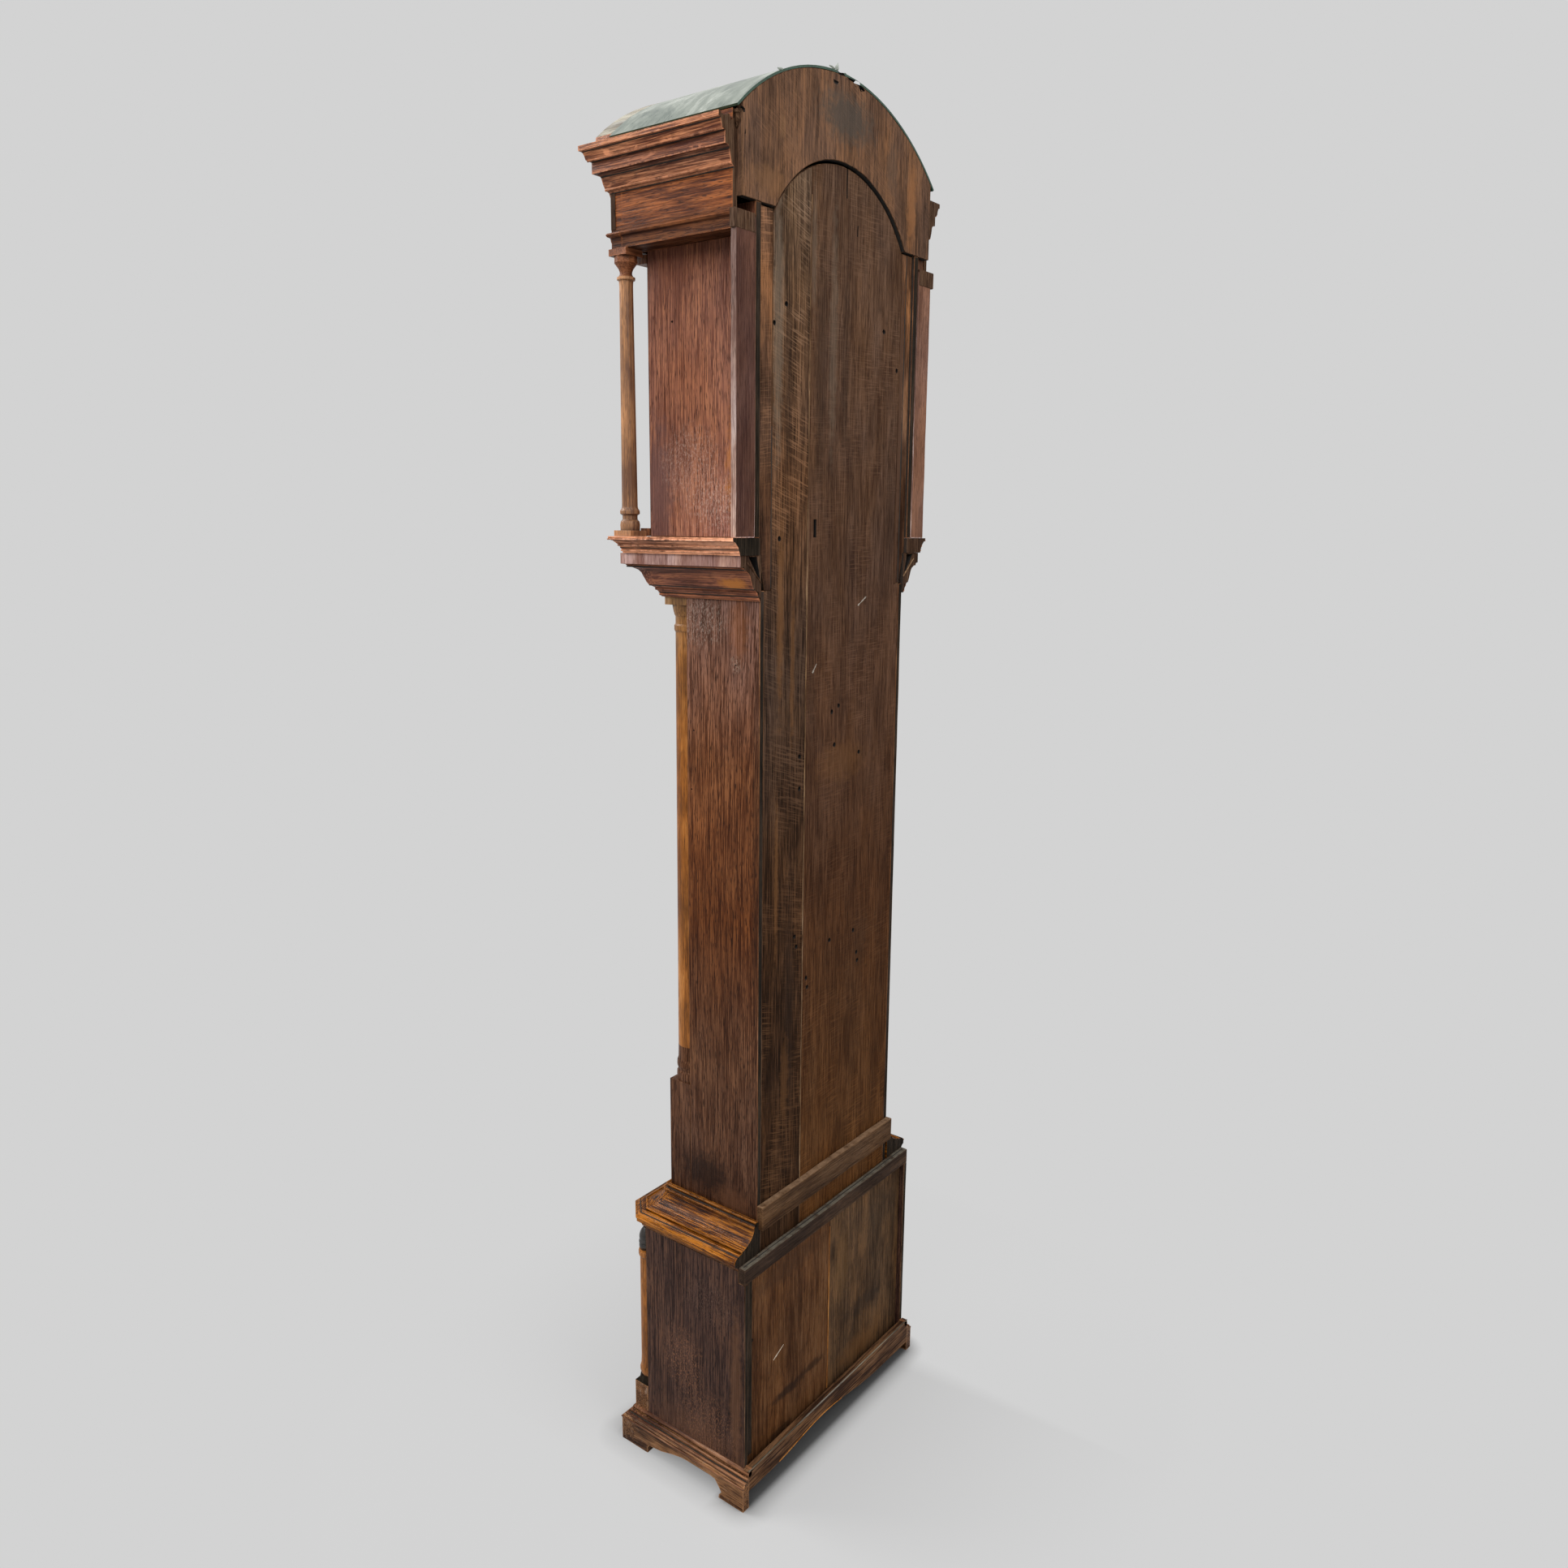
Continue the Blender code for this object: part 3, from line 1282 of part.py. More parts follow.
# Weights on their pulleys, and the gut lines
pulley_z = Z_SEATBOARD - WEIGHT_DROP
for word, way in (("going", 1.0), ("strike", -1.0)):
    x = way * BARREL_X - line_reach + PULLEY_R
    y = ahead(line_d)
    low = pulley_z - 0.0480 - WEIGHT_L
    profile = [
        (0.0, pulley_z - 0.0330),
        (0.0050, pulley_z - 0.0330),
        (0.0050, pulley_z - 0.0440),
        (0.0180, pulley_z - 0.0480),
        (WEIGHT_R, pulley_z - 0.0560),
        (WEIGHT_R, low + 0.0070),
        (0.0200, low),
        (0.0, low),
    ]
    weight = turned(word + "_weight", profile, 14, upright(x, y))
    yoke = box("yoke", (x - 0.006, x + 0.006), (y - 0.0085, y + 0.0085), (pulley_z - 0.0350, pulley_z - 0.0300))
    plates = []
    for turn in (1.0, -1.0):
        reach = (y + turn * 0.0060, y + turn * 0.0082)
        plates.append(box("cheek", (x - 0.0055, x + 0.0055), reach, (pulley_z - 0.0320, pulley_z + 0.0060)))
    groove = PULLEY_R - LINE_R - GAP
    sheave = [
        (0.0, 0.0070),
        (0.0040, 0.0070),
        (0.0040, 0.0040),
        (PULLEY_R + 0.0012, 0.0040),
        (PULLEY_R + 0.0012, 0.0030),
        (groove, 0.0016),
    ]
    sheave += [(r, -h) for r, h in reversed(sheave)]
    place = Matrix.Translation((0.0, -line_d, 0.0)) @ shaft_place(x, pulley_z)
    pulley = turned("pulley", sheave, 16, place)
    finish(joined(weight, yoke, *plates, pulley), LEAD, (x, y, pulley_z))

    curve = bpy.data.curves.new("line", "CURVE")
    curve.dimensions = "3D"
    curve.bevel_depth = LINE_R
    curve.bevel_resolution = 1
    curve.use_fill_caps = True
    track = [(x - PULLEY_R, barrel_z)]
    for i in range(13):
        angle = math.pi * i / 12
        track.append((x - PULLEY_R * math.cos(angle), pulley_z - PULLEY_R * math.sin(angle)))
    track.append((x + PULLEY_R, Z_SEATBOARD - GAP))
    spline = curve.splines.new("POLY")
    spline.points.add(len(track) - 1)
    for point, (px, pz) in zip(spline.points, track):
        point.co = (px, y, pz, 1.0)
    drawn = as_object("line", curve)
    mesh = tidy(evaluated(drawn))
    bpy.data.objects.remove(drawn, do_unlink=True)
    finish(as_object(word + "_line", mesh), GUT)

# Dial on four feet
hour_pipe_r = 0.0048
loops = [
    break_arch(DIAL_HALF, Z_DIAL, Z_DIAL_SPRING, Z_DIAL_SPRING - ARCH_DROP, DIAL_ARCH_R, 20),
    circle(0.0, Z_CENTRE, hour_pipe_r + 0.0010, 16),
    circle(BARREL_X, barrel_z, 0.0055, 12),
    circle(-BARREL_X, barrel_z, 0.0055, 12),
]
dial = slab("dial", loops, "xz", wall(DIAL_D, DIAL_D + DIAL_T))
for x in (-0.054, 0.054):
    for z in (Z_PLATES + 0.028, Z_PLATES + PLATE_H - 0.028):
        joined(dial, rod("foot", 0.0030, x, z, FRONT_PLATE_D + PLATE_T + GAP, DIAL_D + 0.001, 8))
finish(dial, BRASS)

# Hands
hour_d = DIAL_D + DIAL_T + 0.0030


def hand_outline(length, width, boss, degrees):
    """A pointed hand with a round boss, at an angle clockwise from twelve as seen from the front."""
    half = [
        (width * 0.35, length * 0.30),
        (width * 0.80, length * 0.52),
        (width * 0.35, length * 0.66),
        (width * 0.22, length * 0.90),
    ]
    ring = [(boss * math.sin(math.radians(a)), boss * math.cos(math.radians(a))) for a in range(60, 301, 30)]
    points = ring + [(-x, z) for x, z in half] + [(0.0, length)] + half[::-1]
    turn = math.radians(degrees)
    result = []
    for x, z in points:
        result.append((x * math.cos(turn) + z * math.sin(turn), Z_CENTRE - x * math.sin(turn) + z * math.cos(turn)))
    return result


pipe = [
    (hour_pipe_r, hour_d + 0.0018),
    (hour_pipe_r, FRONT_PLATE_D + PLATE_T + 0.0080),
    (0.0020 + FIT, FRONT_PLATE_D + PLATE_T + 0.0080),
    (0.0020 + FIT, hour_d + 0.0018),
]
hour = turned("hour_hand", pipe, 12, shaft_place(0.0, Z_CENTRE), ring=True)
blade = slab(
    "blade",
    [hand_outline(HOUR_L, 0.0110, 0.0085, HOUR_DEG), circle(0.0, Z_CENTRE, 0.0035, 12)],
    "xz",
    wall(hour_d, hour_d + 0.0012),
)
finish(joined(hour, blade), BLUED, (0.0, BACK, Z_CENTRE))
loops = [hand_outline(MINUTE_L, 0.0090, 0.0065, MINUTE_DEG), circle(0.0, Z_CENTRE, 0.0020 + GAP, 12)]
minute = slab("minute_hand", loops, "xz", wall(minute_d, minute_d + 0.0012))
finish(minute, BLUED, (0.0, BACK, Z_CENTRE))

# Bell on its stand, and the hammer
bell_d = 0.1300
bell_y = ahead(bell_d)
bell_low = Z_PLATES + PLATE_H + 0.0160
outer = [
    (BELL_R, 0.0),
    (BELL_R - 0.0020, 0.0040),
    (BELL_R * 0.88, 0.0180),
    (BELL_R * 0.70, 0.0285),
    (BELL_R * 0.40, 0.0345),
    (0.0, 0.0360),
]
profile = [(r, bell_low + h) for r, h in reversed(outer)]
profile += [(r * 0.94, bell_low + h * 0.92) for r, h in outer]
bell = turned("bell", profile, 16, upright(BELL_X, bell_y))
stand_d = BACK_PLATE_D - GAP
arm_z = bell_low + 0.0440
upright_post = box(
    "stand",
    (BELL_X - 0.004, BELL_X + 0.004),
    wall(stand_d - 0.0030, stand_d),
    (Z_PLATES + PLATE_H - 0.0120, arm_z + 0.0030),
)
arm = box("arm", (BELL_X - 0.0035, BELL_X + 0.0035), wall(stand_d - 0.0025, bell_d + 0.0040), (arm_z, arm_z + 0.0028))
screw = post("screw", 0.0024, BELL_X, bell_y, bell_low + 0.0345, arm_z + 0.0020, 10)
finish(joined(bell, screw, arm, upright_post), BRASS)

hammer_d = 0.1250
hammer = rod("hammer", ARBOR_R, *hammer_at, pivot_end, FRONT_PLATE_D + PLATE_T - 0.0004)
head_x = BELL_X - BELL_R - 0.0100
head_z = bell_low + 0.0030
lean = [
    (hammer_at[0] - 0.0020, hammer_at[1] - 0.0030),
    (hammer_at[0] + 0.0024, hammer_at[1] - 0.0030),
    (head_x + 0.0020, head_z),
    (head_x - 0.0020, head_z + 0.0010),
]
shank = slab("shank", [lean], "xz", wall(hammer_d - 0.0015, hammer_d + 0.0015))
head = rod("head", 0.0062, head_x, head_z + 0.0015, hammer_d - 0.0070, hammer_d + 0.0070, 12)
finish(joined(hammer, shank, head), STEEL, (hammer_at[0], BACK, hammer_at[1]))

bpy.context.view_layer.update()
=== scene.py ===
"""Looks of the longcase clock: worn oak, marks of age, dial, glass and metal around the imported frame."""

import json
import math
import random

import bmesh
import bpy
from mathutils import Matrix, Vector, noise


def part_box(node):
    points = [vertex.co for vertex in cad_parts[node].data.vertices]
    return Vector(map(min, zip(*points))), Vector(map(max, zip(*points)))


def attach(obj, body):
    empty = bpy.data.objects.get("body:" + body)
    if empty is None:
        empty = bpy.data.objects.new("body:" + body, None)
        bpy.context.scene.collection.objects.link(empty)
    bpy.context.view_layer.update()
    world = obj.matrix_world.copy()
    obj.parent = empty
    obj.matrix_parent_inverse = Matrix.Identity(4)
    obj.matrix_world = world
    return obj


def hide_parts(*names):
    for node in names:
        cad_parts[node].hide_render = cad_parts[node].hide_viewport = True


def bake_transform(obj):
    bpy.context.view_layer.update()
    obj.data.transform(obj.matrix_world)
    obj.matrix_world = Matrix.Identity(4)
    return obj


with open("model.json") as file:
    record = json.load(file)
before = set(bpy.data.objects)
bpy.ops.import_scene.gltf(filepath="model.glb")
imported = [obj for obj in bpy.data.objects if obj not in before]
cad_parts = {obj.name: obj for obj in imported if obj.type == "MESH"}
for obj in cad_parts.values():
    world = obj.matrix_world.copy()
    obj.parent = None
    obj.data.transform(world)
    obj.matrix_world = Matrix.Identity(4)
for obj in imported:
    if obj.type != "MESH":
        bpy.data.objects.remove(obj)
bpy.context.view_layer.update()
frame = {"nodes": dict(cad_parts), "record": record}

noise.seed_set(7)
NODES = frame["nodes"]
BODY_OF = {node: body for body, members in frame["record"]["behaviour"]["bodies"].items() for node in members}
TRUNK_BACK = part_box("backboard_left")[1][1]
BASE_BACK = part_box("base_back_left")[1][1]
TRUNK_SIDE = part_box("trunk_side_right")[1][0]
HOOD_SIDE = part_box("hood_side_right")[1][0]
BASE_SIDE = 0.2377

# Camera, as a lens on a square frame
CAMERA_AT = Vector((1.528, 1.1748, 1.539))
CAMERA_TURN = math.radians(127.16)
CAMERA_DIP = math.radians(11.93)
CAMERA_ROLL = math.radians(0.54)
CAMERA_LENS = 27.58

# Light levels
BACKDROP = 0.651
SKY_LEVEL = 0.46
FLOOR_TONE = 0.53
FOOT_HALF = (0.235, 0.125)

# How far hollows are felt for grime and painted shade, and outer edges for wear
AO_SAMPLES = 6
HOLLOW_REACH = 0.012
EDGE_REACH = 0.003
COOL_TINT = (0.9, 0.93, 1.0)
WARM_TINT = (1.0, 0.92, 0.78)


def set_camera():
    """The camera at the photograph's viewing angle."""
    data = bpy.data.cameras.new("camera")
    data.lens = CAMERA_LENS
    data.sensor_width = 36.0
    data.clip_start = 0.01
    ahead = Vector((
        -math.sin(CAMERA_TURN) * math.cos(CAMERA_DIP),
        math.cos(CAMERA_TURN) * math.cos(CAMERA_DIP),
        -math.sin(CAMERA_DIP),
    ))
    right = ahead.cross(Vector((0.0, 0.0, 1.0))).normalized()
    up = right.cross(ahead)
    across = right * math.cos(CAMERA_ROLL) + up * math.sin(CAMERA_ROLL)
    above = up * math.cos(CAMERA_ROLL) - right * math.sin(CAMERA_ROLL)
    camera = bpy.data.objects.new("camera", data)
    rows = [(across[k], above[k], -ahead[k]) for k in range(3)]
    camera.matrix_world = Matrix.Translation(CAMERA_AT) @ Matrix(rows).to_4x4()
    bpy.context.collection.objects.link(camera)
    bpy.context.scene.camera = camera


def colour4(value):
    return (*value, 1.0) if len(value) == 3 else value


class Finish:
    """One material's node tree, built by short calls that each add a node and return its output."""

    def __init__(self, name, roughness=0.5, metallic=0.0):
        self.material = bpy.data.materials.new(name)
        self.material.use_nodes = True
        self.tree = self.material.node_tree
        self.shader = self.tree.nodes["Principled BSDF"]
        self.shader.inputs["Roughness"].default_value = roughness
        self.shader.inputs["Metallic"].default_value = metallic
        coordinates = self.tree.nodes.new("ShaderNodeTexCoord")
        self.place = coordinates.outputs["Object"]
        self.facing = coordinates.outputs["Normal"]

    def put(self, value, socket):
        """Links an output to a socket, or sets the socket to a plain value."""
        if isinstance(value, bpy.types.NodeSocket):
            self.tree.links.new(value, socket)
        elif socket.type == "RGBA":
            socket.default_value = colour4(value)
        else:
            socket.default_value = value

    def surface(self, **values):
        """Sets the shader's own sockets, with _ for a space in their names."""
        for name, value in values.items():
            self.put(value, self.shader.inputs[name.replace("_", " ")])

    def math(self, operation, first, second=0.0):
        node = self.tree.nodes.new("ShaderNodeMath")
        node.operation = operation
        self.put(first, node.inputs[0])
        self.put(second, node.inputs[1])
        return node.outputs[0]

    def scaled(self, vector, scale, offset=(0.0, 0.0, 0.0)):
        node = self.tree.nodes.new("ShaderNodeVectorMath")
        node.operation = "MULTIPLY_ADD"
        self.put(vector, node.inputs[0])
        self.put(scale, node.inputs[1])
        self.put(offset, node.inputs[2])
        return node.outputs[0]

    def vector(self, operation, first, second=(0.0, 0.0, 0.0), output=0):
        node = self.tree.nodes.new("ShaderNodeVectorMath")
        node.operation = operation
        self.put(first, node.inputs[0])
        self.put(second, node.inputs[1])
        return node.outputs[output]

    def noise(self, vector, scale, seed=0.0, detail=2.0, roughness=0.5, distortion=0.0):
        node = self.tree.nodes.new("ShaderNodeTexNoise")
        self.put(self.scaled(vector, scale, (seed * 3.1, seed * 7.7, seed * 5.3)), node.inputs["Vector"])
        node.inputs["Scale"].default_value = 1.0
        node.inputs["Detail"].default_value = detail
        node.inputs["Roughness"].default_value = roughness
        node.inputs["Distortion"].default_value = distortion
        return node.outputs[0]

    def remap(self, value, low, high, to_low=0.0, to_high=1.0):
        node = self.tree.nodes.new("ShaderNodeMapRange")
        self.put(value, node.inputs["Value"])
        for name, number in zip(("From Min", "From Max", "To Min", "To Max"), (low, high, to_low, to_high)):
            self.put(number, node.inputs[name])
        return node.outputs[0]

    def blend(self, share, first, second, mode="MIX"):
        node = self.tree.nodes.new("ShaderNodeMix")
        node.data_type = "RGBA"
        node.blend_type = mode
        node.clamp_factor = True
        self.put(share, node.inputs[0])
        self.put(first, node.inputs[6])
        self.put(second, node.inputs[7])
        return node.outputs[2]

    def ramp(self, value, stops):
        node = self.tree.nodes.new("ShaderNodeValToRGB")
        points = node.color_ramp.elements
        while len(points) < len(stops):
            points.new(0.5)
        for point, (place, colour) in zip(points, stops):
            point.position = place
            point.color = colour4(colour)
        self.put(value, node.inputs[0])
        return node.outputs[0]

    def split(self, vector):
        node = self.tree.nodes.new("ShaderNodeSeparateXYZ")
        self.put(vector, node.inputs[0])
        return node.outputs

    def joined(self, x, y, z):
        node = self.tree.nodes.new("ShaderNodeCombineXYZ")
        for value, socket in zip((x, y, z), node.inputs):
            self.put(value, socket)
        return node.outputs[0]

    def relief(self, height, strength, distance):
        node = self.tree.nodes.new("ShaderNodeBump")
        node.inputs["Strength"].default_value = strength
        node.inputs["Distance"].default_value = distance
        self.put(height, node.inputs["Height"])
        self.put(node.outputs[0], self.shader.inputs["Normal"])

    def cavity(self, reach, inside=False):
        """How open a point is within reach: low in hollows, or with inside low along outer edges."""
        node = self.tree.nodes.new("ShaderNodeAmbientOcclusion")
        node.samples = AO_SAMPLES
        node.inside = inside
        node.only_local = True
        node.inputs["Distance"].default_value = reach
        return node.outputs["AO"]

    def patch(self, centre, size, seed, ragged=0.6):
        """1 inside a ragged blot round centre, falling to 0 at its rim."""
        inverse = tuple(1.0 / length for length in size)
        offset = tuple(-c * i for c, i in zip(centre, inverse))
        reach = self.vector("LENGTH", self.scaled(self.place, inverse, offset), output=1)
        edge = self.noise(self.place, (90.0, 90.0, 90.0), seed, 3.0, 0.6)
        reach = self.math("ADD", reach, self.math("MULTIPLY", self.math("SUBTRACT", edge, 0.5), 2.0 * ragged))
        return self.remap(reach, 1.0, 0.45)


def three(value):
    """A colour, or one number as a grey."""
    return value if isinstance(value, tuple) else (value,) * 3


def along(grain, across_scale, along_scale):
    """Noise scale per axis for a pattern drawn out along one axis."""
    return tuple(along_scale if axis == grain else across_scale for axis in "XYZ")


def wood(
    name,
    shades,
    grain="Z",
    seed=1.0,
    bands=30.0,
    band_depth=0.35,
    lines=560.0,
    line_depth=0.45,
    clouds=0.55,
    pores=0.5,
    patina=0.15,
    gloss=0.45,
    shine=0.1,
    bump=0.3,
    flecks=0.0,
    saw=0.0,
    saw_slant=0.0,
    scuffs=0.0,
    scuff_colour=(0.42, 0.33, 0.27),
    run=None,
    levels=(),
    marks=(),
    grits=(),
    ledge=None,
    hollows=0.0,
    wear=0.0,
):
    """Aged oak. shades are its dark, middle and pale colours.

    bands and lines are the grain's coarse and fine pitch per metre, and band_depth, line_depth and clouds are how far
    the bands, the lines and soft patches swing the colour. run, as (x, y) of the mitre's inner corner, turns the grain
    round a moulding. levels tints by height, as (z, colour factor) pairs. marks are (colour, centre, size, strength)
    blots, grits are the same but speckled, and ledge is the colour of dust on faces that look up. hollows darkens
    inner corners by how shut in they are, as grime and painted shade, and wear pales outer edges.
    """
    f = Finish(name)
    place = f.place
    if run:
        x, y, z = f.split(place)
        beyond = f.math("SUBTRACT", f.math("ABSOLUTE", x), run[0])
        before = f.math("SUBTRACT", run[1], y)
        on_side = f.math("GREATER_THAN", beyond, before)
        turned = f.joined(y, x, z)
        mix = f.tree.nodes.new("ShaderNodeMix")
        mix.data_type = "VECTOR"
        f.put(on_side, mix.inputs[0])
        f.put(turned, mix.inputs[4])
        f.put(place, mix.inputs[5])
        place = mix.outputs[1]
        grain = "Y"
    warp = f.noise(place, along(grain, 9.0, 1.6), seed, 2.0)
    drift = f.math("MULTIPLY", f.math("SUBTRACT", warp, 0.5), 0.025)
    place = f.vector("ADD", place, f.joined(drift, drift, drift))
    coarse = f.remap(f.noise(place, along(grain, bands, 1.4), seed + 1.0, 3.0, 0.55), 0.3, 0.7)
    fine = f.remap(f.noise(place, along(grain, lines, 13.0), seed + 2.0, 3.0, 0.6), 0.35, 0.65)
    cloud = f.remap(f.noise(f.place, along(grain, 24.0, 8.0), seed + 4.0, 4.0, 0.62), 0.3, 0.7)
    hue = f.noise(f.place, along(grain, 15.0, 5.0), seed + 5.5, 3.0, 0.6)
    tone = 0.5
    for part, depth in ((coarse, band_depth), (fine, line_depth), (cloud, clouds)):
        tone = f.math("ADD", tone, f.math("MULTIPLY", f.math("SUBTRACT", part, 0.5), depth))
    dark, middle, pale = shades
    colour = f.ramp(tone, [(0.14, dark), (0.5, middle), (0.86, pale)])
    colour = f.blend(1.0, colour, f.ramp(hue, [(0.32, COOL_TINT), (0.68, WARM_TINT)]), "MULTIPLY")
    broad = f.noise(f.place, (4.0, 4.0, 3.0), seed + 4.0, 4.0, 0.6)
    level = f.remap(broad, 0.28, 0.72, 1.0 - patina, 1.0 + patina)
    colour = f.blend(1.0, colour, f.joined(level, level, level), "MULTIPLY")
    pore = f.remap(f.noise(place, along(grain, 820.0, 70.0), seed + 3.0, 1.0), 0.56, 0.66)
    colour = f.blend(f.math("MULTIPLY", pore, pores), colour, tuple(0.35 * c for c in dark))
    height = f.math("SUBTRACT", fine, pore)
    if flecks:
        ray = f.noise(place, along(grain, 60.0, 22.0), seed + 5.0, 2.0, 0.5, 1.2)
        ray = f.math("MULTIPLY", f.remap(ray, 0.6, 0.7), flecks)
        colour = f.blend(ray, colour, tuple(1.5 * c for c in pale))
    if saw:
        x, y, z = f.split(f.place)
        lean = f.math("ADD", z, f.math("MULTIPLY", f.math("ADD", x, y), saw_slant))
        cut = f.noise(f.joined(f.math("MULTIPLY", x, 0.06), f.math("MULTIPLY", y, 0.06), lean), (520.0,) * 3, seed, 2.0)
        where = f.remap(f.noise(f.place, (14.0, 14.0, 9.0), seed + 6.0, 4.0), 0.44, 0.62)
        cut = f.math("MULTIPLY", f.remap(cut, 0.5, 0.62), where)
        colour = f.blend(f.math("MULTIPLY", cut, saw), colour, tuple(1.3 * c for c in pale))
        height = f.math("ADD", height, f.math("MULTIPLY", cut, 1.2))
    if scuffs:
        worn = f.noise(f.place, (110.0, 110.0, 80.0), seed + 7.0, 5.0, 0.7)
        where = f.remap(f.noise(f.place, (9.0, 9.0, 9.0), seed + 8.0, 3.0), 0.46, 0.66)
        worn = f.math("MULTIPLY", f.remap(worn, 0.55, 0.65), where)
        colour = f.blend(f.math("MULTIPLY", worn, scuffs), colour, scuff_colour)
    if levels:
        z = f.split(f.place)[2]
        low, high = levels[0][0], levels[-1][0]
        top = max(max(three(factor)) for at, factor in levels)
        stops = [((at - low) / (high - low), tuple(c / top for c in three(factor))) for at, factor in levels]
        tint = f.scaled(f.ramp(f.remap(z, low, high), stops), (top,) * 3)
        colour = f.blend(1.0, colour, tint, "MULTIPLY")
    for number, (mark, centre, size, strength) in enumerate(marks):
        blot = f.patch(centre, size, seed + 9.0 + number)
        colour = f.blend(f.math("MULTIPLY", blot, strength), colour, mark)
    if grits:
        speck = f.remap(f.noise(f.place, along(grain, 520.0, 210.0), seed + 30.0, 4.0, 0.75), 0.5, 0.62)
        for number, (mark, centre, size, strength) in enumerate(grits):
            blot = f.math("MULTIPLY", f.patch(centre, size, seed + 31.0 + number), speck)
            colour = f.blend(f.math("MULTIPLY", blot, strength), colour, mark)
    if ledge:
        up = f.remap(f.split(f.facing)[2], 0.55, 0.85)
        dust = f.remap(f.noise(f.place, (60.0, 60.0, 60.0), seed + 20.0, 4.0, 0.65), 0.3, 0.55)
        colour = f.blend(f.math("MULTIPLY", up, dust), colour, ledge)
    if wear:
        rubbed = f.remap(f.cavity(EDGE_REACH, inside=True), 0.92, 0.62)
        patchy = f.remap(f.noise(f.place, (90.0, 90.0, 90.0), seed + 21.0, 4.0, 0.7), 0.38, 0.58)
        colour = f.blend(f.math("MULTIPLY", f.math("MULTIPLY", rubbed, patchy), wear), colour, tuple(1.35 * c for c in pale))
    # Inner corners darkened by ambient occlusion: grime and painted shade.
    if hollows:
        shut = f.remap(f.cavity(HOLLOW_REACH), 0.96, 0.6)
        colour = f.blend(f.math("MULTIPLY", shut, hollows), colour, tuple(0.3 * c for c in dark))
    rough = f.remap(f.math("ADD", fine, broad), 0.6, 1.5, gloss + 0.12, gloss - 0.08)
    f.surface(Base_Color=colour, Roughness=rough)
    f.surface(Specular_IOR_Level=shine)
    f.relief(height, bump, 0.0006)
    return f.material


def paint_roof(name):
    """Old green gloss paint on sheet, paled in wiped streaks by dust and a painted sheen, more so towards the top."""
    f = Finish(name)
    x, y, z = f.split(f.place)
    # The dust noise and the rise towards the top also carry a painted sheen.
    brush = f.noise(f.place, (30.0, 120.0, 30.0), 2.0, 4.0, 0.6, 0.8)
    dust = f.noise(f.place, (12.0, 22.0, 12.0), 5.0, 5.0, 0.65, 0.6)
    share = f.math("ADD", f.math("MULTIPLY", dust, 0.65), f.math("MULTIPLY", brush, 0.35))
    share = f.math("ADD", share, f.remap(z, 2.06, 2.15, -0.05, 0.06))
    stops = [(0.36, (0.09, 0.115, 0.095)), (0.5, (0.21, 0.235, 0.2)), (0.66, (0.44, 0.46, 0.415))]
    f.surface(Base_Color=f.ramp(share, stops), Roughness=f.remap(share, 0.35, 0.65, 0.26, 0.42))
    f.relief(brush, 0.25, 0.0005)
    return f.material


def metal(name, pale, dark, roughness, seed, brushed=0.15):
    """Old metal: tarnish in blots, fine wiping scratches."""
    f = Finish(name, metallic=1.0)
    tarnish = f.noise(f.place, (40.0, 40.0, 40.0), seed, 5.0, 0.6)
    scratch = f.noise(f.place, (900.0, 60.0, 240.0), seed + 1.0, 2.0, 0.6)
    colour = f.ramp(tarnish, [(0.32, dark), (0.68, pale)])
    rough = f.math("ADD", f.remap(tarnish, 0.3, 0.7, roughness + 0.15, roughness), f.math("MULTIPLY", scratch, brushed))
    f.surface(Base_Color=colour, Roughness=rough)
    f.relief(scratch, 0.12, 0.0003)
    return f.material


def dial_plate(name, middle, matted):
    """Lacquered brass, rubbed to a pale gold, with a dark grained field inside the chapter ring."""
    f = Finish(name, metallic=1.0)
    x, y, z = f.split(f.place)
    out = f.vector("LENGTH", f.joined(x, 0.0, f.math("SUBTRACT", z, middle)), output=1)
    field = f.remap(out, matted + 0.0005, matted)
    tarnish = f.noise(f.place, (26.0, 26.0, 26.0), 3.0, 5.0, 0.62)
    punched = f.noise(f.place, (1500.0, 1500.0, 1500.0), 4.0, 1.0)
    plain = f.ramp(tarnish, [(0.3, (0.16, 0.1, 0.035)), (0.7, (0.36, 0.25, 0.095))])
    grained = f.ramp(punched, [(0.36, (0.17, 0.11, 0.04)), (0.64, (0.44, 0.31, 0.12))])
    f.surface(Base_Color=f.blend(field, plain, grained), Roughness=f.remap(field, 0.0, 1.0, 0.3, 0.5))
    f.relief(f.math("MULTIPLY", punched, field), 0.5, 0.0004)
    return f.material


def dull(name, pale, dark, roughness, seed, scale=120.0, bump=0.3):
    """A matt material in two close colours, such as chalk, dirt and painted shade in a hole, or gut."""
    f = Finish(name)
    blots = f.noise(f.place, (scale,) * 3, seed, 4.0, 0.65)
    f.surface(Base_Color=f.ramp(blots, [(0.32, dark), (0.66, pale)]), Roughness=roughness)
    f.relief(blots, bump, 0.0005)
    return f.material


def window_glass(name):
    """Thin old glass with slow ripples."""
    f = Finish(name, roughness=0.03)
    f.surface(Base_Color=(0.93, 0.97, 0.95), Transmission_Weight=1.0, IOR=1.45)
    f.relief(f.noise(f.place, (16.0, 16.0, 9.0), 3.0, 2.0), 0.08, 0.002)
    return f.material


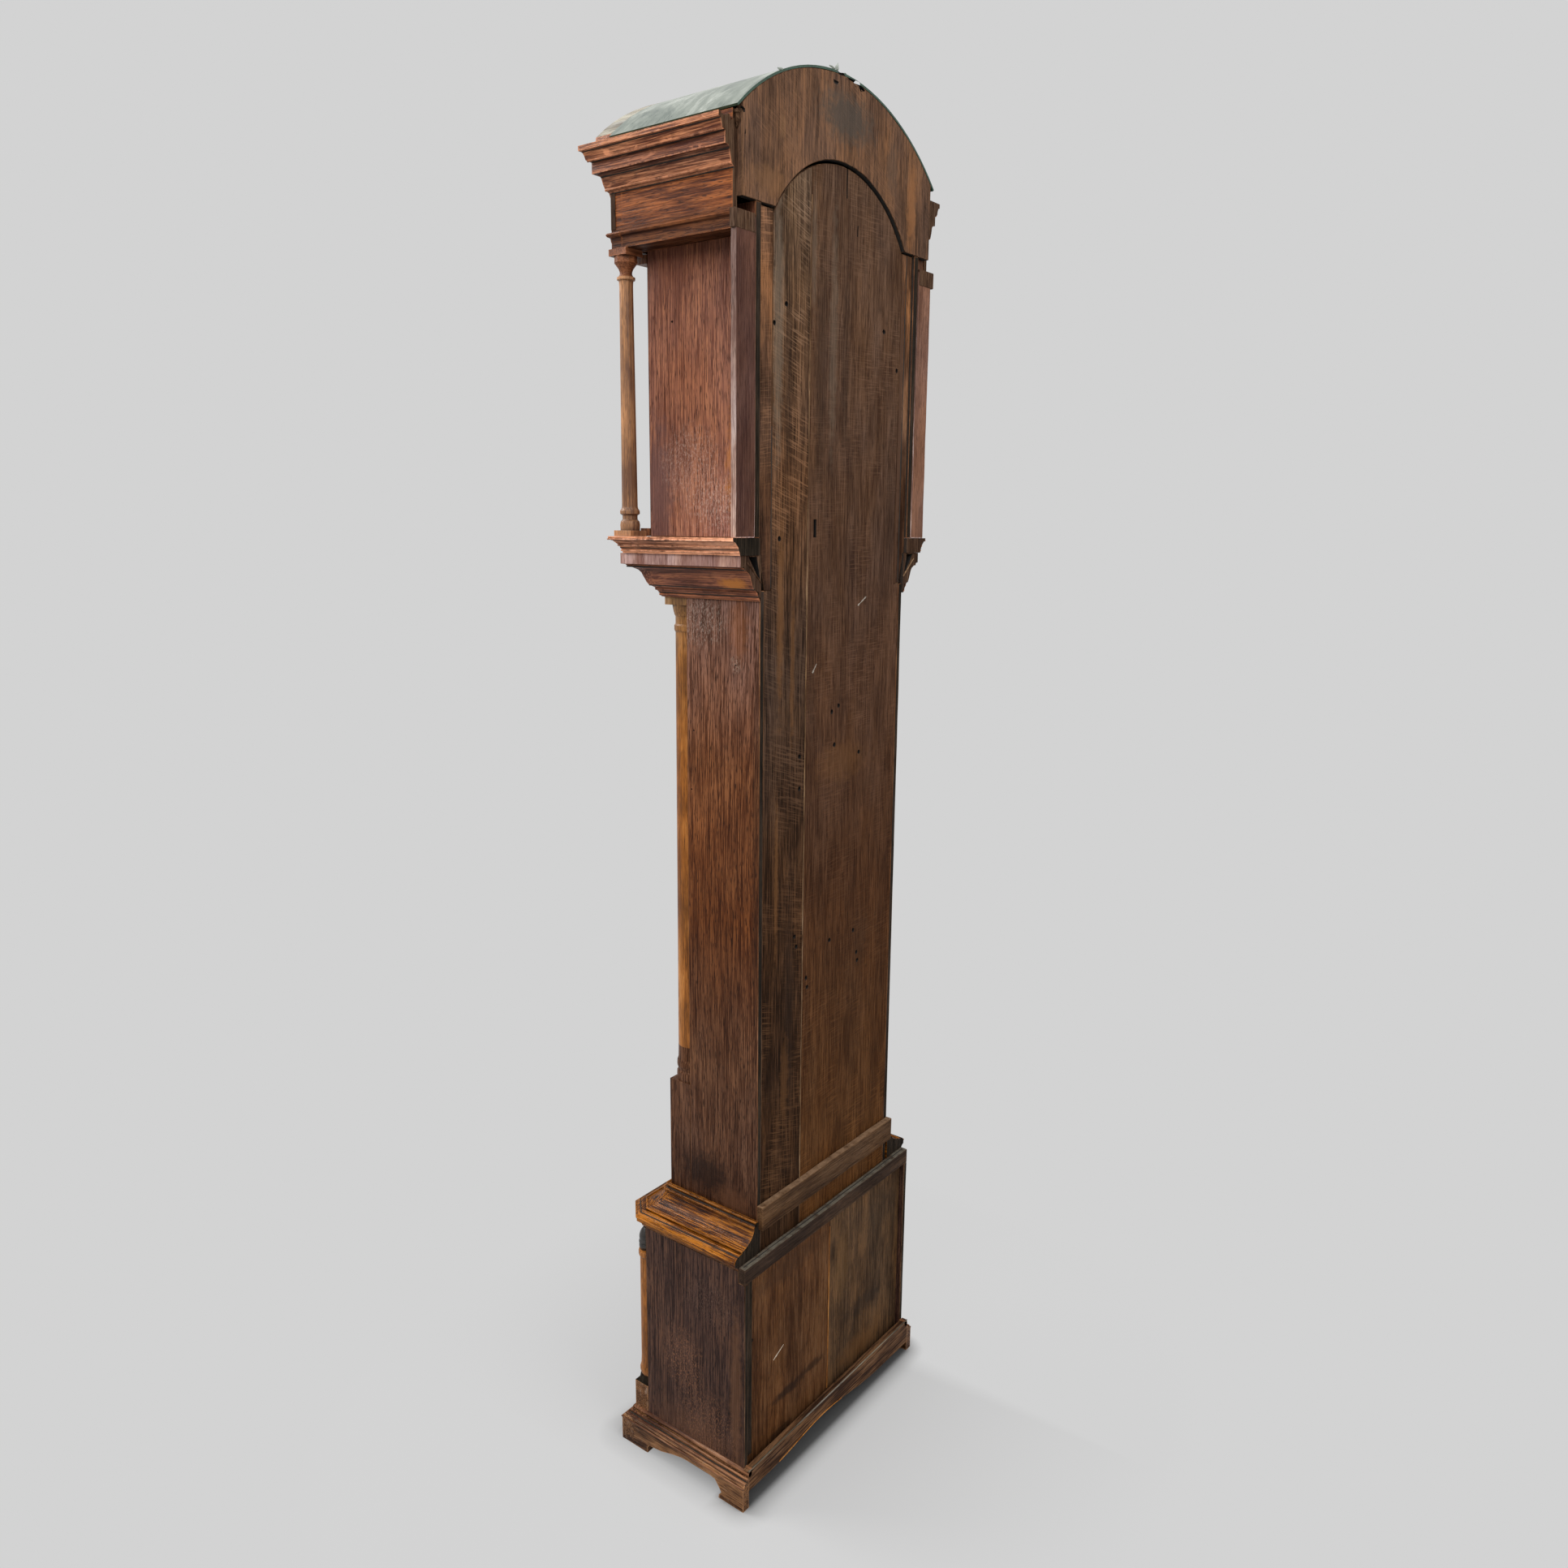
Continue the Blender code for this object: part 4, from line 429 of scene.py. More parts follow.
def bare_mesh(bm, name):
    """A fresh mesh of a bmesh's points and faces, in an order that is the same each run, with its material numbers."""
    points = sorted(bm.verts, key=lambda vert: [round(c, 6) for c in vert.co])
    number = {vert: place for place, vert in enumerate(points)}
    faces = []
    for face in bm.faces:
        loop = [number[vert] for vert in face.verts]
        first = loop.index(min(loop))
        faces.append((loop[first:] + loop[:first], face.material_index))
    faces.sort()
    mesh = bpy.data.meshes.new(name)
    mesh.from_pydata([tuple(vert.co) for vert in points], [], [loop for loop, material in faces])
    for polygon, (loop, material) in zip(mesh.polygons, faces):
        polygon.material_index = material
    bm.free()
    return mesh


def shaped(node):
    """A CAD node's shape as a bmesh with welded points and whole flat faces."""
    bm = bmesh.new()
    bm.from_mesh(NODES[node].data)
    bmesh.ops.remove_doubles(bm, verts=bm.verts, dist=2e-6)
    bmesh.ops.dissolve_limit(bm, angle_limit=math.radians(0.4), verts=bm.verts, edges=bm.edges)
    for face in bm.faces:
        face.material_index = 0
    return bm


def sliced(bm, axis, step):
    """Cuts faces across an axis every step metres, so that long edges have points to move."""
    normal = Vector([1.0 if k == axis else 0.0 for k in range(3)])
    low = min(v.co[axis] for v in bm.verts)
    high = max(v.co[axis] for v in bm.verts)
    count = int((high - low) / step)
    for number in range(1, count + 1):
        at = normal * (low + (high - low) * number / (count + 1))
        bmesh.ops.bisect_plane(bm, geom=bm.verts[:] + bm.edges[:] + bm.faces[:], plane_co=at, plane_no=normal, dist=1e-6)


def wobble(bm, amount, pitch, seed):
    """Moves points by a smooth random field: hand-worked, never quite straight."""
    shift = Vector((seed * 1.7, seed * 2.3, seed * 3.1))
    for vert in bm.verts:
        vert.co += noise.noise_vector(vert.co / pitch + shift) * amount


def cut_holes(mesh, cutter):
    """mesh with cutter taken out of it. The cut's walls keep the cutter's material numbers."""
    body = bpy.data.objects.new("cut_body", mesh)
    tool = bpy.data.objects.new("cut_tool", cutter)
    for obj in (body, tool):
        bpy.context.collection.objects.link(obj)
        while len(obj.data.materials) < 3:
            obj.data.materials.append(None)
    cut = body.modifiers.new("cut", "BOOLEAN")
    cut.operation = "DIFFERENCE"
    cut.solver = "EXACT"
    cut.use_self = True
    cut.material_mode = "INDEX"
    cut.object = tool
    bpy.context.view_layer.update()
    result = bpy.data.meshes.new_from_object(body.evaluated_get(bpy.context.evaluated_depsgraph_get()))
    numbers = [face.material_index for face in result.polygons]
    result.materials.clear()
    for face, number in zip(result.polygons, numbers):
        face.material_index = number
    for obj in (body, tool):
        bpy.data.objects.remove(obj)
    return result


def settle(name, mesh, finishes, body, nodes=(), smooth=35.0):
    """Makes a mesh a piece of the clock: its finishes, shading, body, and the CAD nodes it stands for."""
    mesh.name = name
    for finish in finishes:
        mesh.materials.append(finish)
    mesh.shade_smooth()
    mesh.set_sharp_from_angle(angle=math.radians(smooth))
    piece = bpy.data.objects.new(name, mesh)
    bpy.context.collection.objects.link(piece)
    flat = piece.modifiers.new("flat faces", "WEIGHTED_NORMAL")
    flat.keep_sharp = True
    if body:
        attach(piece, body)
    if nodes:
        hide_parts(*nodes)
    return piece


def looks_back(centre, normal):
    """True for a face that looks to the clock's back."""
    return normal.y > 0.85


def dressed(
    node,
    finish,
    edge=None,
    bevel=0.0008,
    step=None,
    axis=2,
    amount=0.0,
    seed=1.0,
    cutter=None,
    smooth=35.0,
    zones=(),
    rides=True,
):
    """A CAD node with softened, worn edges and its real finish.

    zones are (rule, finish) pairs: a plain face whose centre and normal keep the rule takes that finish instead.
    With rides false, the piece is not attached to a body.
    """
    bm = shaped(node)
    if bevel:
        sharp = [e for e in bm.edges if len(e.link_faces) == 2 and e.calc_face_angle() > math.radians(28)]
        bmesh.ops.bevel(
            bm,
            geom=sharp,
            offset=bevel,
            segments=2,
            profile=0.6,
            affect="EDGES",
            clamp_overlap=True,
            material=1 if edge else -1,
        )
    if step:
        sliced(bm, axis, step)
    if amount:
        wobble(bm, amount, 0.05, seed)
    mesh = bare_mesh(bm, node)
    if cutter:
        mesh = cut_holes(mesh, cutter)
    # Cut walls with material number 2 take the third finish: dirt and painted shade.
    finishes = [finish, edge or finish, DIRT_AND_SHADE]
    for rule, look in zones:
        for face in mesh.polygons:
            if face.material_index == 0 and rule(face.center, face.normal):
                face.material_index = len(finishes)
        finishes.append(look)
    return settle(node + "_worn", mesh, finishes, BODY_OF[node] if rides else None, [node], smooth)


def holes(places, out, depth=0.006, seed=1):
    """A cutter of ragged round holes. places are (point on the face, radius), out the way the face looks."""
    bm = bmesh.new()
    chance = random.Random(seed)
    turn = Vector((0.0, 0.0, 1.0)).rotation_difference(Vector(out)).to_matrix().to_4x4()
    for point, radius in places:
        made = bmesh.ops.create_cone(
            bm,
            cap_ends=True,
            segments=9,
            radius1=0.7 * radius,
            radius2=radius,
            depth=2.0 * depth,
            matrix=Matrix.Translation(point) @ turn,
        )
        for vert in made["verts"]:
            away = turn.inverted() @ (vert.co - Vector(point))
            away.x *= chance.uniform(0.8, 1.2)
            away.y *= chance.uniform(0.8, 1.2)
            vert.co = Vector(point) + turn @ away
    for face in bm.faces:
        face.material_index = 2
    return bare_mesh(bm, "holes")


def merged(*meshes):
    """Several meshes as one."""
    bm = bmesh.new()
    for mesh in meshes:
        bm.from_mesh(mesh)
    return bare_mesh(bm, "merged")


def slots(places, depth=0.008):
    """A cutter of narrow slots in a face that looks to +Y. places are (x, low z, high z, width, lean)."""
    bm = bmesh.new()
    for x, low, high, width, lean in places:
        made = bmesh.ops.create_cube(bm, size=1.0)
        size = Matrix.Diagonal((width, 2.0 * depth, high - low, 1.0))
        tilt = Matrix.Rotation(lean, 4, "Y")
        at = Matrix.Translation((x, TRUNK_BACK, 0.5 * (low + high)))
        bmesh.ops.transform(bm, matrix=at @ tilt @ size, verts=made["verts"])
    for face in bm.faces:
        face.material_index = 2
    return bare_mesh(bm, "slots")


def rod(points, radius, flatness=1.0, up=(0.0, 0.0, 1.0), sides=8, ragged=0.0, seed=1):
    """A mesh rod along a path. flatness squeezes it along up, and ragged varies its width from point to point."""
    chance = random.Random(seed)
    points = [Vector(point) for point in points]
    up = Vector(up)
    bm = bmesh.new()
    rings = []
    for number, point in enumerate(points):
        steps = []
        if number:
            steps.append((point - points[number - 1]).normalized())
        if number + 1 < len(points):
            steps.append((points[number + 1] - point).normalized())
        ahead = (steps[0] + steps[-1]).normalized()
        side = ahead.cross(up).normalized()
        above = side.cross(ahead).normalized()
        width = radius / max(0.5, ahead.dot(steps[0])) * (1.0 + ragged * chance.uniform(-1.0, 1.0))
        ring = []
        for corner in range(sides):
            turn = 2.0 * math.pi * corner / sides
            across = side * width * math.cos(turn)
            ring.append(bm.verts.new(point + across + above * radius * flatness * math.sin(turn)))
        rings.append(ring)
    for first, second in zip(rings, rings[1:]):
        for corner in range(sides):
            beyond = (corner + 1) % sides
            bm.faces.new((first[corner], first[beyond], second[beyond], second[corner]))
    bm.faces.new(rings[0])
    bm.faces.new(rings[-1])
    bmesh.ops.recalc_face_normals(bm, faces=bm.faces)
    return bare_mesh(bm, "rod")


def rim(node, height):
    """A moulding's points at a height, from its right back end round the front to its left back end."""
    level = {}
    for vert in NODES[node].data.vertices:
        if abs(vert.co.z - height) < 1.5e-4:
            level[(round(vert.co.x, 4), round(vert.co.y, 4))] = vert.co.copy()
    wide = max(abs(point.x) for point in level.values()) - 1e-4
    front = min(point.y for point in level.values()) + 1e-4
    outer = [point for point in level.values() if abs(point.x) > wide or point.y < front]
    return sorted(outer, key=lambda point: -math.atan2(point.x, -point.y))


def shards(places, seed=1, material=0):
    """Ragged splinters as one mesh. places are (centre, size)."""
    chance = random.Random(seed)
    bm = bmesh.new()
    for centre, size in places:
        points = []
        for number in range(11):
            way = Vector([chance.gauss(0.0, 1.0) for axis in range(3)]).normalized()
            points.append(bm.verts.new(Vector(centre) + Vector([0.5 * w * s for w, s in zip(way, size)])))
        hull = bmesh.ops.convex_hull(bm, input=points)
        spare = {v for v in hull["geom_interior"] + hull["geom_unused"] if isinstance(v, bmesh.types.BMVert)}
        bmesh.ops.delete(bm, geom=list(spare), context="VERTS")
    bmesh.ops.recalc_face_normals(bm, faces=bm.faces)
    for face in bm.faces:
        face.material_index = material
    return bare_mesh(bm, "shards")


def prism(outline, low, high, material=2):
    """A solid with an outline of (x, z) points, from low to high in y."""
    bm = bmesh.new()
    near = [bm.verts.new((x, low, z)) for x, z in outline]
    far = [bm.verts.new((x, high, z)) for x, z in outline]
    bm.faces.new(near)
    bm.faces.new(far)
    for number in range(len(outline)):
        beyond = (number + 1) % len(outline)
        bm.faces.new((near[number], near[beyond], far[beyond], far[number]))
    bmesh.ops.recalc_face_normals(bm, faces=bm.faces)
    for face in bm.faces:
        face.material_index = material
    return bare_mesh(bm, "prism")


def brick(low, high):
    """A box with softened edges between two corners."""
    bm = bmesh.new()
    bmesh.ops.create_cube(bm, size=1.0)
    middle = (Vector(low) + Vector(high)) / 2.0
    size = Vector(high) - Vector(low)
    bmesh.ops.transform(bm, matrix=Matrix.Translation(middle) @ Matrix.Diagonal((*size, 1.0)), verts=bm.verts)
    bmesh.ops.bevel(bm, geom=bm.edges[:], offset=0.15 * min(size), segments=2, profile=0.5, affect="EDGES")
    return bare_mesh(bm, "brick")


def turned(x, y, profile, sides=24):
    """A solid turned on the upright axis at (x, y). profile is (radius, height) pairs from its foot up."""
    bm = bmesh.new()
    loops = []
    for radius, height in profile:
        turns = [2.0 * math.pi * number / sides for number in range(sides)]
        loops.append([bm.verts.new((x + radius * math.cos(t), y + radius * math.sin(t), height)) for t in turns])
    for first, second in zip(loops, loops[1:]):
        for number in range(sides):
            beyond = (number + 1) % sides
            bm.faces.new((first[number], first[beyond], second[beyond], second[number]))
    bm.faces.new(loops[0])
    bm.faces.new(loops[-1])
    bmesh.ops.recalc_face_normals(bm, faces=bm.faces)
    return bare_mesh(bm, "turned")


def round_outline(x, z, radius, sides=48):
    """The (x, z) points of a circle."""
    turns = [2.0 * math.pi * number / sides for number in range(sides)]
    return [(x + radius * math.sin(turn), z + radius * math.cos(turn)) for turn in turns]


def ring(x, z, inner, outer, low, high, sides=96):
    """A flat ring round (x, z), from low to high in y."""
    bm = bmesh.new()
    loops = []
    for radius, y in ((inner, low), (outer, low), (outer, high), (inner, high)):
        loops.append([bm.verts.new((px, y, pz)) for px, pz in round_outline(x, z, radius, sides)])
    for number in range(4):
        first, second = loops[number], loops[(number + 1) % 4]
        for side in range(sides):
            beyond = (side + 1) % sides
            bm.faces.new((first[side], first[beyond], second[beyond], second[side]))
    bmesh.ops.recalc_face_normals(bm, faces=bm.faces)
    return bare_mesh(bm, "ring")


def leaf(x, y, z, turn, length, width, rise):
    """A domed leaf that grows from (x, z) on a plate at y, turned clockwise from straight up."""
    bm = bmesh.new()
    bmesh.ops.create_uvsphere(bm, u_segments=12, v_segments=8, radius=1.0)
    for vert in bm.verts:
        share = 0.5 * (vert.co.z + 1.0)
        across = 0.5 * width * vert.co.x * (0.35 + 0.75 * share)
        up = length * share
        vert.co = Vector((
            x + across * math.cos(turn) + up * math.sin(turn),
            y + rise * vert.co.y,
            z - across * math.sin(turn) + up * math.cos(turn),
        ))
    bmesh.ops.recalc_face_normals(bm, faces=bm.faces)
    return bare_mesh(bm, "leaf")


# Near-black walls of cut holes, cracks, voids and breaks: dirt and painted shade inside them.
DIRT_AND_SHADE = dull("dirt_and_shade", (0.012, 0.008, 0.006), (0.004, 0.003, 0.002), 0.95, 2.0)

set_camera()

# World and floor
world = bpy.data.worlds.new("studio")
world.use_nodes = True
bpy.context.scene.world = world
bpy.context.scene.view_settings.view_transform = "Standard"


def seen_directly(tree):
    """1 for camera, glossy and transmission rays, which see the backdrop, and 0 for the light that falls."""
    path = tree.nodes.new("ShaderNodeLightPath")
    total = path.outputs["Is Camera Ray"]
    for name in ("Is Glossy Ray", "Is Transmission Ray"):
        larger = tree.nodes.new("ShaderNodeMath")
        larger.operation = "MAXIMUM"
        tree.links.new(total, larger.inputs[0])
        tree.links.new(path.outputs[name], larger.inputs[1])
        total = larger.outputs[0]
    return total


def light_world():
    tree = world.node_tree
    sky = tree.nodes["Background"]
    sky.inputs["Color"].default_value = (1.0, 1.0, 1.0, 1.0)
    sky.inputs["Strength"].default_value = SKY_LEVEL
    drop = tree.nodes.new("ShaderNodeBackground")
    drop.inputs["Color"].default_value = (1.0, 1.0, 1.0, 1.0)
    drop.inputs["Strength"].default_value = BACKDROP
    mix = tree.nodes.new("ShaderNodeMixShader")
    tree.links.new(seen_directly(tree), mix.inputs[0])
    tree.links.new(sky.outputs[0], mix.inputs[1])
    tree.links.new(drop.outputs[0], mix.inputs[2])
    tree.links.new(mix.outputs[0], tree.nodes["World Output"].inputs["Surface"])


def lay_floor():
    """A pale floor that takes the shadow near the clock and fades into the backdrop further out. Its colour is painted
    dark under and just round the clock as a contact shadow and paler by the near side's arch as painted light, and its
    glow is raised at the sides, which paints out the shadow there.
    """
    mesh = bpy.data.meshes.new("floor")
    reach = 12.0
    mesh.from_pydata([(-reach, -reach, 0), (reach, -reach, 0), (reach, reach, 0), (-reach, reach, 0)], [], [(0, 1, 2, 3)])
    f = Finish("floor", roughness=0.9)
    glow = f.tree.nodes.new("ShaderNodeEmission")
    glow.inputs["Strength"].default_value = BACKDROP
    mix = f.tree.nodes.new("ShaderNodeMixShader")
    x, y, z = f.split(f.place)
    beside = f.math("MAXIMUM", f.math("SUBTRACT", f.math("ABSOLUTE", x), FOOT_HALF[0]), 0.0)
    behind = f.math("MAXIMUM", f.math("SUBTRACT", f.math("ABSOLUTE", y), FOOT_HALF[1]), 0.0)
    away = f.vector("LENGTH", f.joined(beside, behind, 0.0), output=1)
    far = f.math("ADD", f.remap(away, 0.016, 0.05, 0.0, 0.5), f.remap(away, 0.05, 0.55, 0.0, 0.5))
    # The glow is raised beside the clock and towards its far side, which paints out the clock's shadow there.
    far = f.math("MAXIMUM", far, f.remap(beside, 0.02, 0.12, 0.0, 0.95))
    outside = f.remap(away, 0.016, 0.05)
    far = f.math("MAXIMUM", far, f.math("MULTIPLY", f.remap(x, -0.14, -0.24, 0.0, 0.95), outside))
    # By the near side's arch the floor glows more and is painted paler: painted light.
    near_side_light = f.math("MULTIPLY", f.remap(x, 0.17, 0.26), f.remap(y, 0.108, 0.08))
    far = f.math("MAXIMUM", far, f.math("MULTIPLY", near_side_light, 0.55))
    # The floor's colour is painted dark under and just round the clock: a painted contact shadow.
    tone = f.math("ADD", f.remap(away, 0.013, 0.025, 0.1, 0.34), f.remap(away, 0.025, 0.06, 0.0, FLOOR_TONE - 0.34))
    tone = f.math("MAXIMUM", tone, f.math("MULTIPLY", near_side_light, 0.32))
    f.surface(Base_Color=f.joined(tone, tone, tone), Specular_IOR_Level=0.0)
    f.put(f.math("MULTIPLY", seen_directly(f.tree), far), mix.inputs[0])
    f.put(f.shader.outputs[0], mix.inputs[1])
    f.put(glow.outputs[0], mix.inputs[2])
    f.put(mix.outputs[0], f.tree.nodes["Material Output"].inputs["Surface"])
    mesh.materials.append(f.material)
    floor = bpy.data.objects.new("floor", mesh)
    bpy.context.collection.objects.link(floor)


def add_lamp(name, at, target, size, power):
    data = bpy.data.lights.new(name, "AREA")
    data.size = size
    data.energy = power
    lamp = bpy.data.objects.new(name, data)
    lamp.location = at
    lamp.rotation_euler = (Vector(target) - Vector(at)).to_track_quat("-Z", "Y").to_euler()
    lamp.visible_camera = False
    bpy.context.collection.objects.link(lamp)


light_world()
lay_floor()
add_lamp("front_lamp", (1.2, -3.0, 3.6), (0.0, 0.0, 1.2), 1.8, 100.0)
add_lamp("side_lamp", (3.2, 0.6, 3.8), (0.0, 0.0, 1.2), 2.0, 95.0)
add_lamp("back_lamp", (0.2, 3.4, 3.8), (0.0, 0.0, 1.2), 2.6, 95.0)

# Finishes of the polished wood
# Its levels make the side's foot paler and greyer, a painted glare over the whitish scuffs, and darken its top under
# the frieze as painted shade.
hood_side_oak = wood(
    "hood_side_oak",
    ((0.11, 0.034, 0.017), (0.212, 0.081, 0.049), (0.365, 0.148, 0.076)),
    seed=3.0, gloss=0.42, band_depth=0.12, line_depth=0.85, clouds=0.35, pores=0.8,
    levels=((1.53, (1.42, 1.62, 1.95)), (1.66, (1.0, 1.02, 1.1)), (1.8, (0.98, 1.0, 1.06)), (1.95, 0.8)),
    marks=(
        ((0.42, 0.15, 0.036), (HOOD_SIDE, 0.092, 1.62), (0.05, 0.028, 0.15), 0.75),
        ((0.32, 0.11, 0.038), (HOOD_SIDE, 0.095, 1.86), (0.05, 0.02, 0.09), 0.45),
        ((0.125, 0.062, 0.055), (HOOD_SIDE, -0.062, 1.59), (0.05, 0.034, 0.12), 0.7),
        ((0.13, 0.046, 0.03), (HOOD_SIDE, -0.045, 1.9), (0.05, 0.06, 0.06), 0.4),
    ),
    grits=(
        ((0.62, 0.46, 0.38), (HOOD_SIDE, 0.06, 1.57), (0.05, 0.08, 0.045), 0.5),
        ((0.58, 0.42, 0.34), (HOOD_SIDE, 0.0, 1.63), (0.05, 0.07, 0.06), 0.35),
    ),
)
cornice_oak = wood(
    "cornice_oak",
    ((0.066, 0.017, 0.008), (0.195, 0.07, 0.033), (0.42, 0.172, 0.084)),
    seed=5.0, gloss=0.38, shine=0.15, line_depth=0.9, clouds=0.5, flecks=0.6, run=(0.2, -0.08),
    ledge=(0.43, 0.21, 0.104), hollows=0.8, wear=0.9,
    levels=(
        (1.993, 1.0), (2.015, (1.0, 1.04, 1.06)), (2.019, (0.94, 0.87, 0.84)), (2.032, (0.94, 0.87, 0.84)),
        (2.036, (1.3, 1.3, 1.26)), (2.053, (1.3, 1.3, 1.26)), (2.09, 1.1),
    ),
)
frieze_oak = wood(
    "frieze_oak",
    ((0.055, 0.016, 0.008), (0.15, 0.043, 0.013), (0.31, 0.1, 0.03)),
    grain="Y", seed=7.0, gloss=0.42, bands=60.0, lines=360.0, line_depth=0.8, pores=0.7, clouds=0.7, hollows=0.8, wear=0.5,
    levels=((1.921, (0.45, 0.52, 0.72)), (1.944, (0.6, 0.66, 0.86)), (1.952, 1.0), (2.063, 1.0)),
)
front_oak = wood(
    "front_oak",
    ((0.085, 0.03, 0.015), (0.185, 0.064, 0.027), (0.32, 0.12, 0.05)),
    grain="X", seed=8.0, gloss=0.4, shine=0.15, hollows=0.7, wear=0.4,
)
door_oak = wood(
    "door_oak",
    ((0.08, 0.027, 0.012), (0.18, 0.064, 0.026), (0.3, 0.118, 0.05)),
    seed=9.0, gloss=0.36, shine=0.2, flecks=0.3,
)
hood_column_oak = wood(
    "hood_column_oak",
    ((0.15, 0.07, 0.04), (0.31, 0.155, 0.075), (0.52, 0.26, 0.125)),
    seed=11.0, gloss=0.34, shine=0.3, clouds=0.9, hollows=0.7, wear=0.3,
)
# Its levels make the column paler and greyer towards its top: a painted glare.
trunk_column_oak = wood(
    "trunk_column_oak",
    ((0.135, 0.045, 0.009), (0.298, 0.104, 0.017), (0.49, 0.2, 0.05)),
    seed=13.0, gloss=0.36, shine=0.2, clouds=0.8, hollows=0.7, levels=((1.25, 1.0), (1.36, (1.0, 1.15, 1.6)), (1.44, (0.95, 1.4, 3.0))),
)
throat_oak = wood(
    "throat_oak",
    ((0.055, 0.018, 0.01), (0.185, 0.063, 0.038), (0.38, 0.14, 0.062)),
    seed=15.0, gloss=0.36, shine=0.15, run=(0.188, -0.05), flecks=0.25, bands=90.0, line_depth=0.7, hollows=0.85, wear=0.5,
    marks=(((0.42, 0.15, 0.03), (0.21, 0.08, 1.464), (0.03, 0.034, 0.01), 0.9),),
)
# Its pale pinkish shades carry a painted glare over the fascia's own colour.
fascia_oak = wood(
    "fascia_oak",
    ((0.16, 0.064, 0.048), (0.34, 0.195, 0.165), (0.56, 0.37, 0.32)),
    seed=16.0, gloss=0.45, bands=26.0, band_depth=0.35, lines=300.0, line_depth=0.25, clouds=0.9,
)
hood_base_oak = wood(
    "hood_base_oak",
    ((0.12, 0.034, 0.013), (0.44, 0.172, 0.084), (0.75, 0.355, 0.205)),
    seed=17.0, gloss=0.36, shine=0.2, run=(0.2, -0.08), flecks=0.2, bands=150.0, line_depth=0.9, clouds=0.8, hollows=0.9, wear=0.8,
)
trunk_oak = wood(
    "trunk_side_oak",
    ((0.055, 0.016, 0.005), (0.128, 0.046, 0.019), (0.22, 0.088, 0.038)),
    seed=19.0, gloss=0.42, bands=60.0, band_depth=0.15, lines=520.0, line_depth=1.0, clouds=0.35, pores=0.85,
    levels=(
        (0.48, (0.42, 0.44, 0.48)), (0.58, (0.66, 0.76, 0.95)), (0.72, (0.74, 0.86, 1.05)),
        (0.95, (0.84, 0.7, 0.46)), (1.2, (1.08, 1.08, 1.05)), (1.43, (1.1, 1.5, 2.75)),
    ),
    marks=(
        ((0.012, 0.005, 0.003), (TRUNK_SIDE, 0.009, 0.52), (0.05, 0.06, 0.045), 0.75),
        ((0.11, 0.044, 0.02), (TRUNK_SIDE, 0.06, 0.49), (0.05, 0.04, 0.03), 0.5),
        ((0.024, 0.009, 0.004), (TRUNK_SIDE, 0.108, 1.05), (0.02, 0.008, 0.4), 0.5),
        ((0.25, 0.086, 0.03), (TRUNK_SIDE, 0.075, 1.4), (0.05, 0.022, 0.06), 0.35),
    ),
    grits=(
        ((0.42, 0.32, 0.26), (TRUNK_SIDE, 0.0, 1.41), (0.05, 0.06, 0.05), 0.5),
        ((0.34, 0.24, 0.18), (TRUNK_SIDE, 0.07, 1.347), (0.02, 0.012, 0.016), 0.7),
    ),
)
base_moulding_oak = wood(
    "base_moulding_oak",
    ((0.014, 0.003, 0.001), (0.096, 0.028, 0.003), (0.31, 0.112, 0.014)),
    seed=21.0, gloss=0.28, shine=0.12, run=(0.188, -0.05), flecks=0.2, bands=200.0, band_depth=0.5, line_depth=0.8, clouds=0.8,
    levels=((0.413, (0.7, 0.62, 0.8)), (0.428, (1.35, 1.3, 1.0)), (0.445, (1.25, 1.2, 0.95)), (0.474, (0.85, 0.85, 1.3))),
    hollows=0.95, wear=0.5, scuffs=0.75, scuff_colour=(0.04, 0.015, 0.011),
)
base_side_oak = wood(
    "base_side_oak",
    ((0.02, 0.008, 0.006), (0.056, 0.027, 0.02), (0.105, 0.05, 0.031)),
    seed=23.0, gloss=0.42, lines=420.0, band_depth=0.12, line_depth=0.85, clouds=0.4, pores=0.8,
    marks=(
        ((0.125, 0.054, 0.024), (BASE_SIDE, 0.112, 0.2), (0.05, 0.016, 0.18), 0.5),
        ((0.105, 0.046, 0.024), (BASE_SIDE, 0.02, 0.075), (0.05, 0.1, 0.04), 0.4),
    ),
    grits=(
        ((0.23, 0.1, 0.05), (BASE_SIDE, 0.0, 0.2), (0.05, 0.05, 0.07), 0.85),
        ((0.21, 0.092, 0.046), (BASE_SIDE, 0.05, 0.11), (0.05, 0.08, 0.07), 0.75),
        ((0.18, 0.1, 0.07), (BASE_SIDE, 0.06, 0.33), (0.05, 0.07, 0.05), 0.4),
    ),
)
plinth_oak = wood(
    "plinth_oak",
    ((0.026, 0.009, 0.004), (0.128, 0.056, 0.023), (0.305, 0.15, 0.066)),
    seed=25.0, gloss=0.4, run=(0.235, -0.08), line_depth=0.7, clouds=0.9, scuffs=0.7, scuff_colour=(0.3, 0.2, 0.14), hollows=0.7, wear=0.7,
)
plinth_bead_oak = wood(
    "plinth_bead_oak",
    ((0.05, 0.016, 0.007), (0.16, 0.064, 0.027), (0.31, 0.146, 0.072)),
    seed=26.0, gloss=0.36, shine=0.2, run=(0.235, -0.08), lines=260.0, clouds=0.9,
)

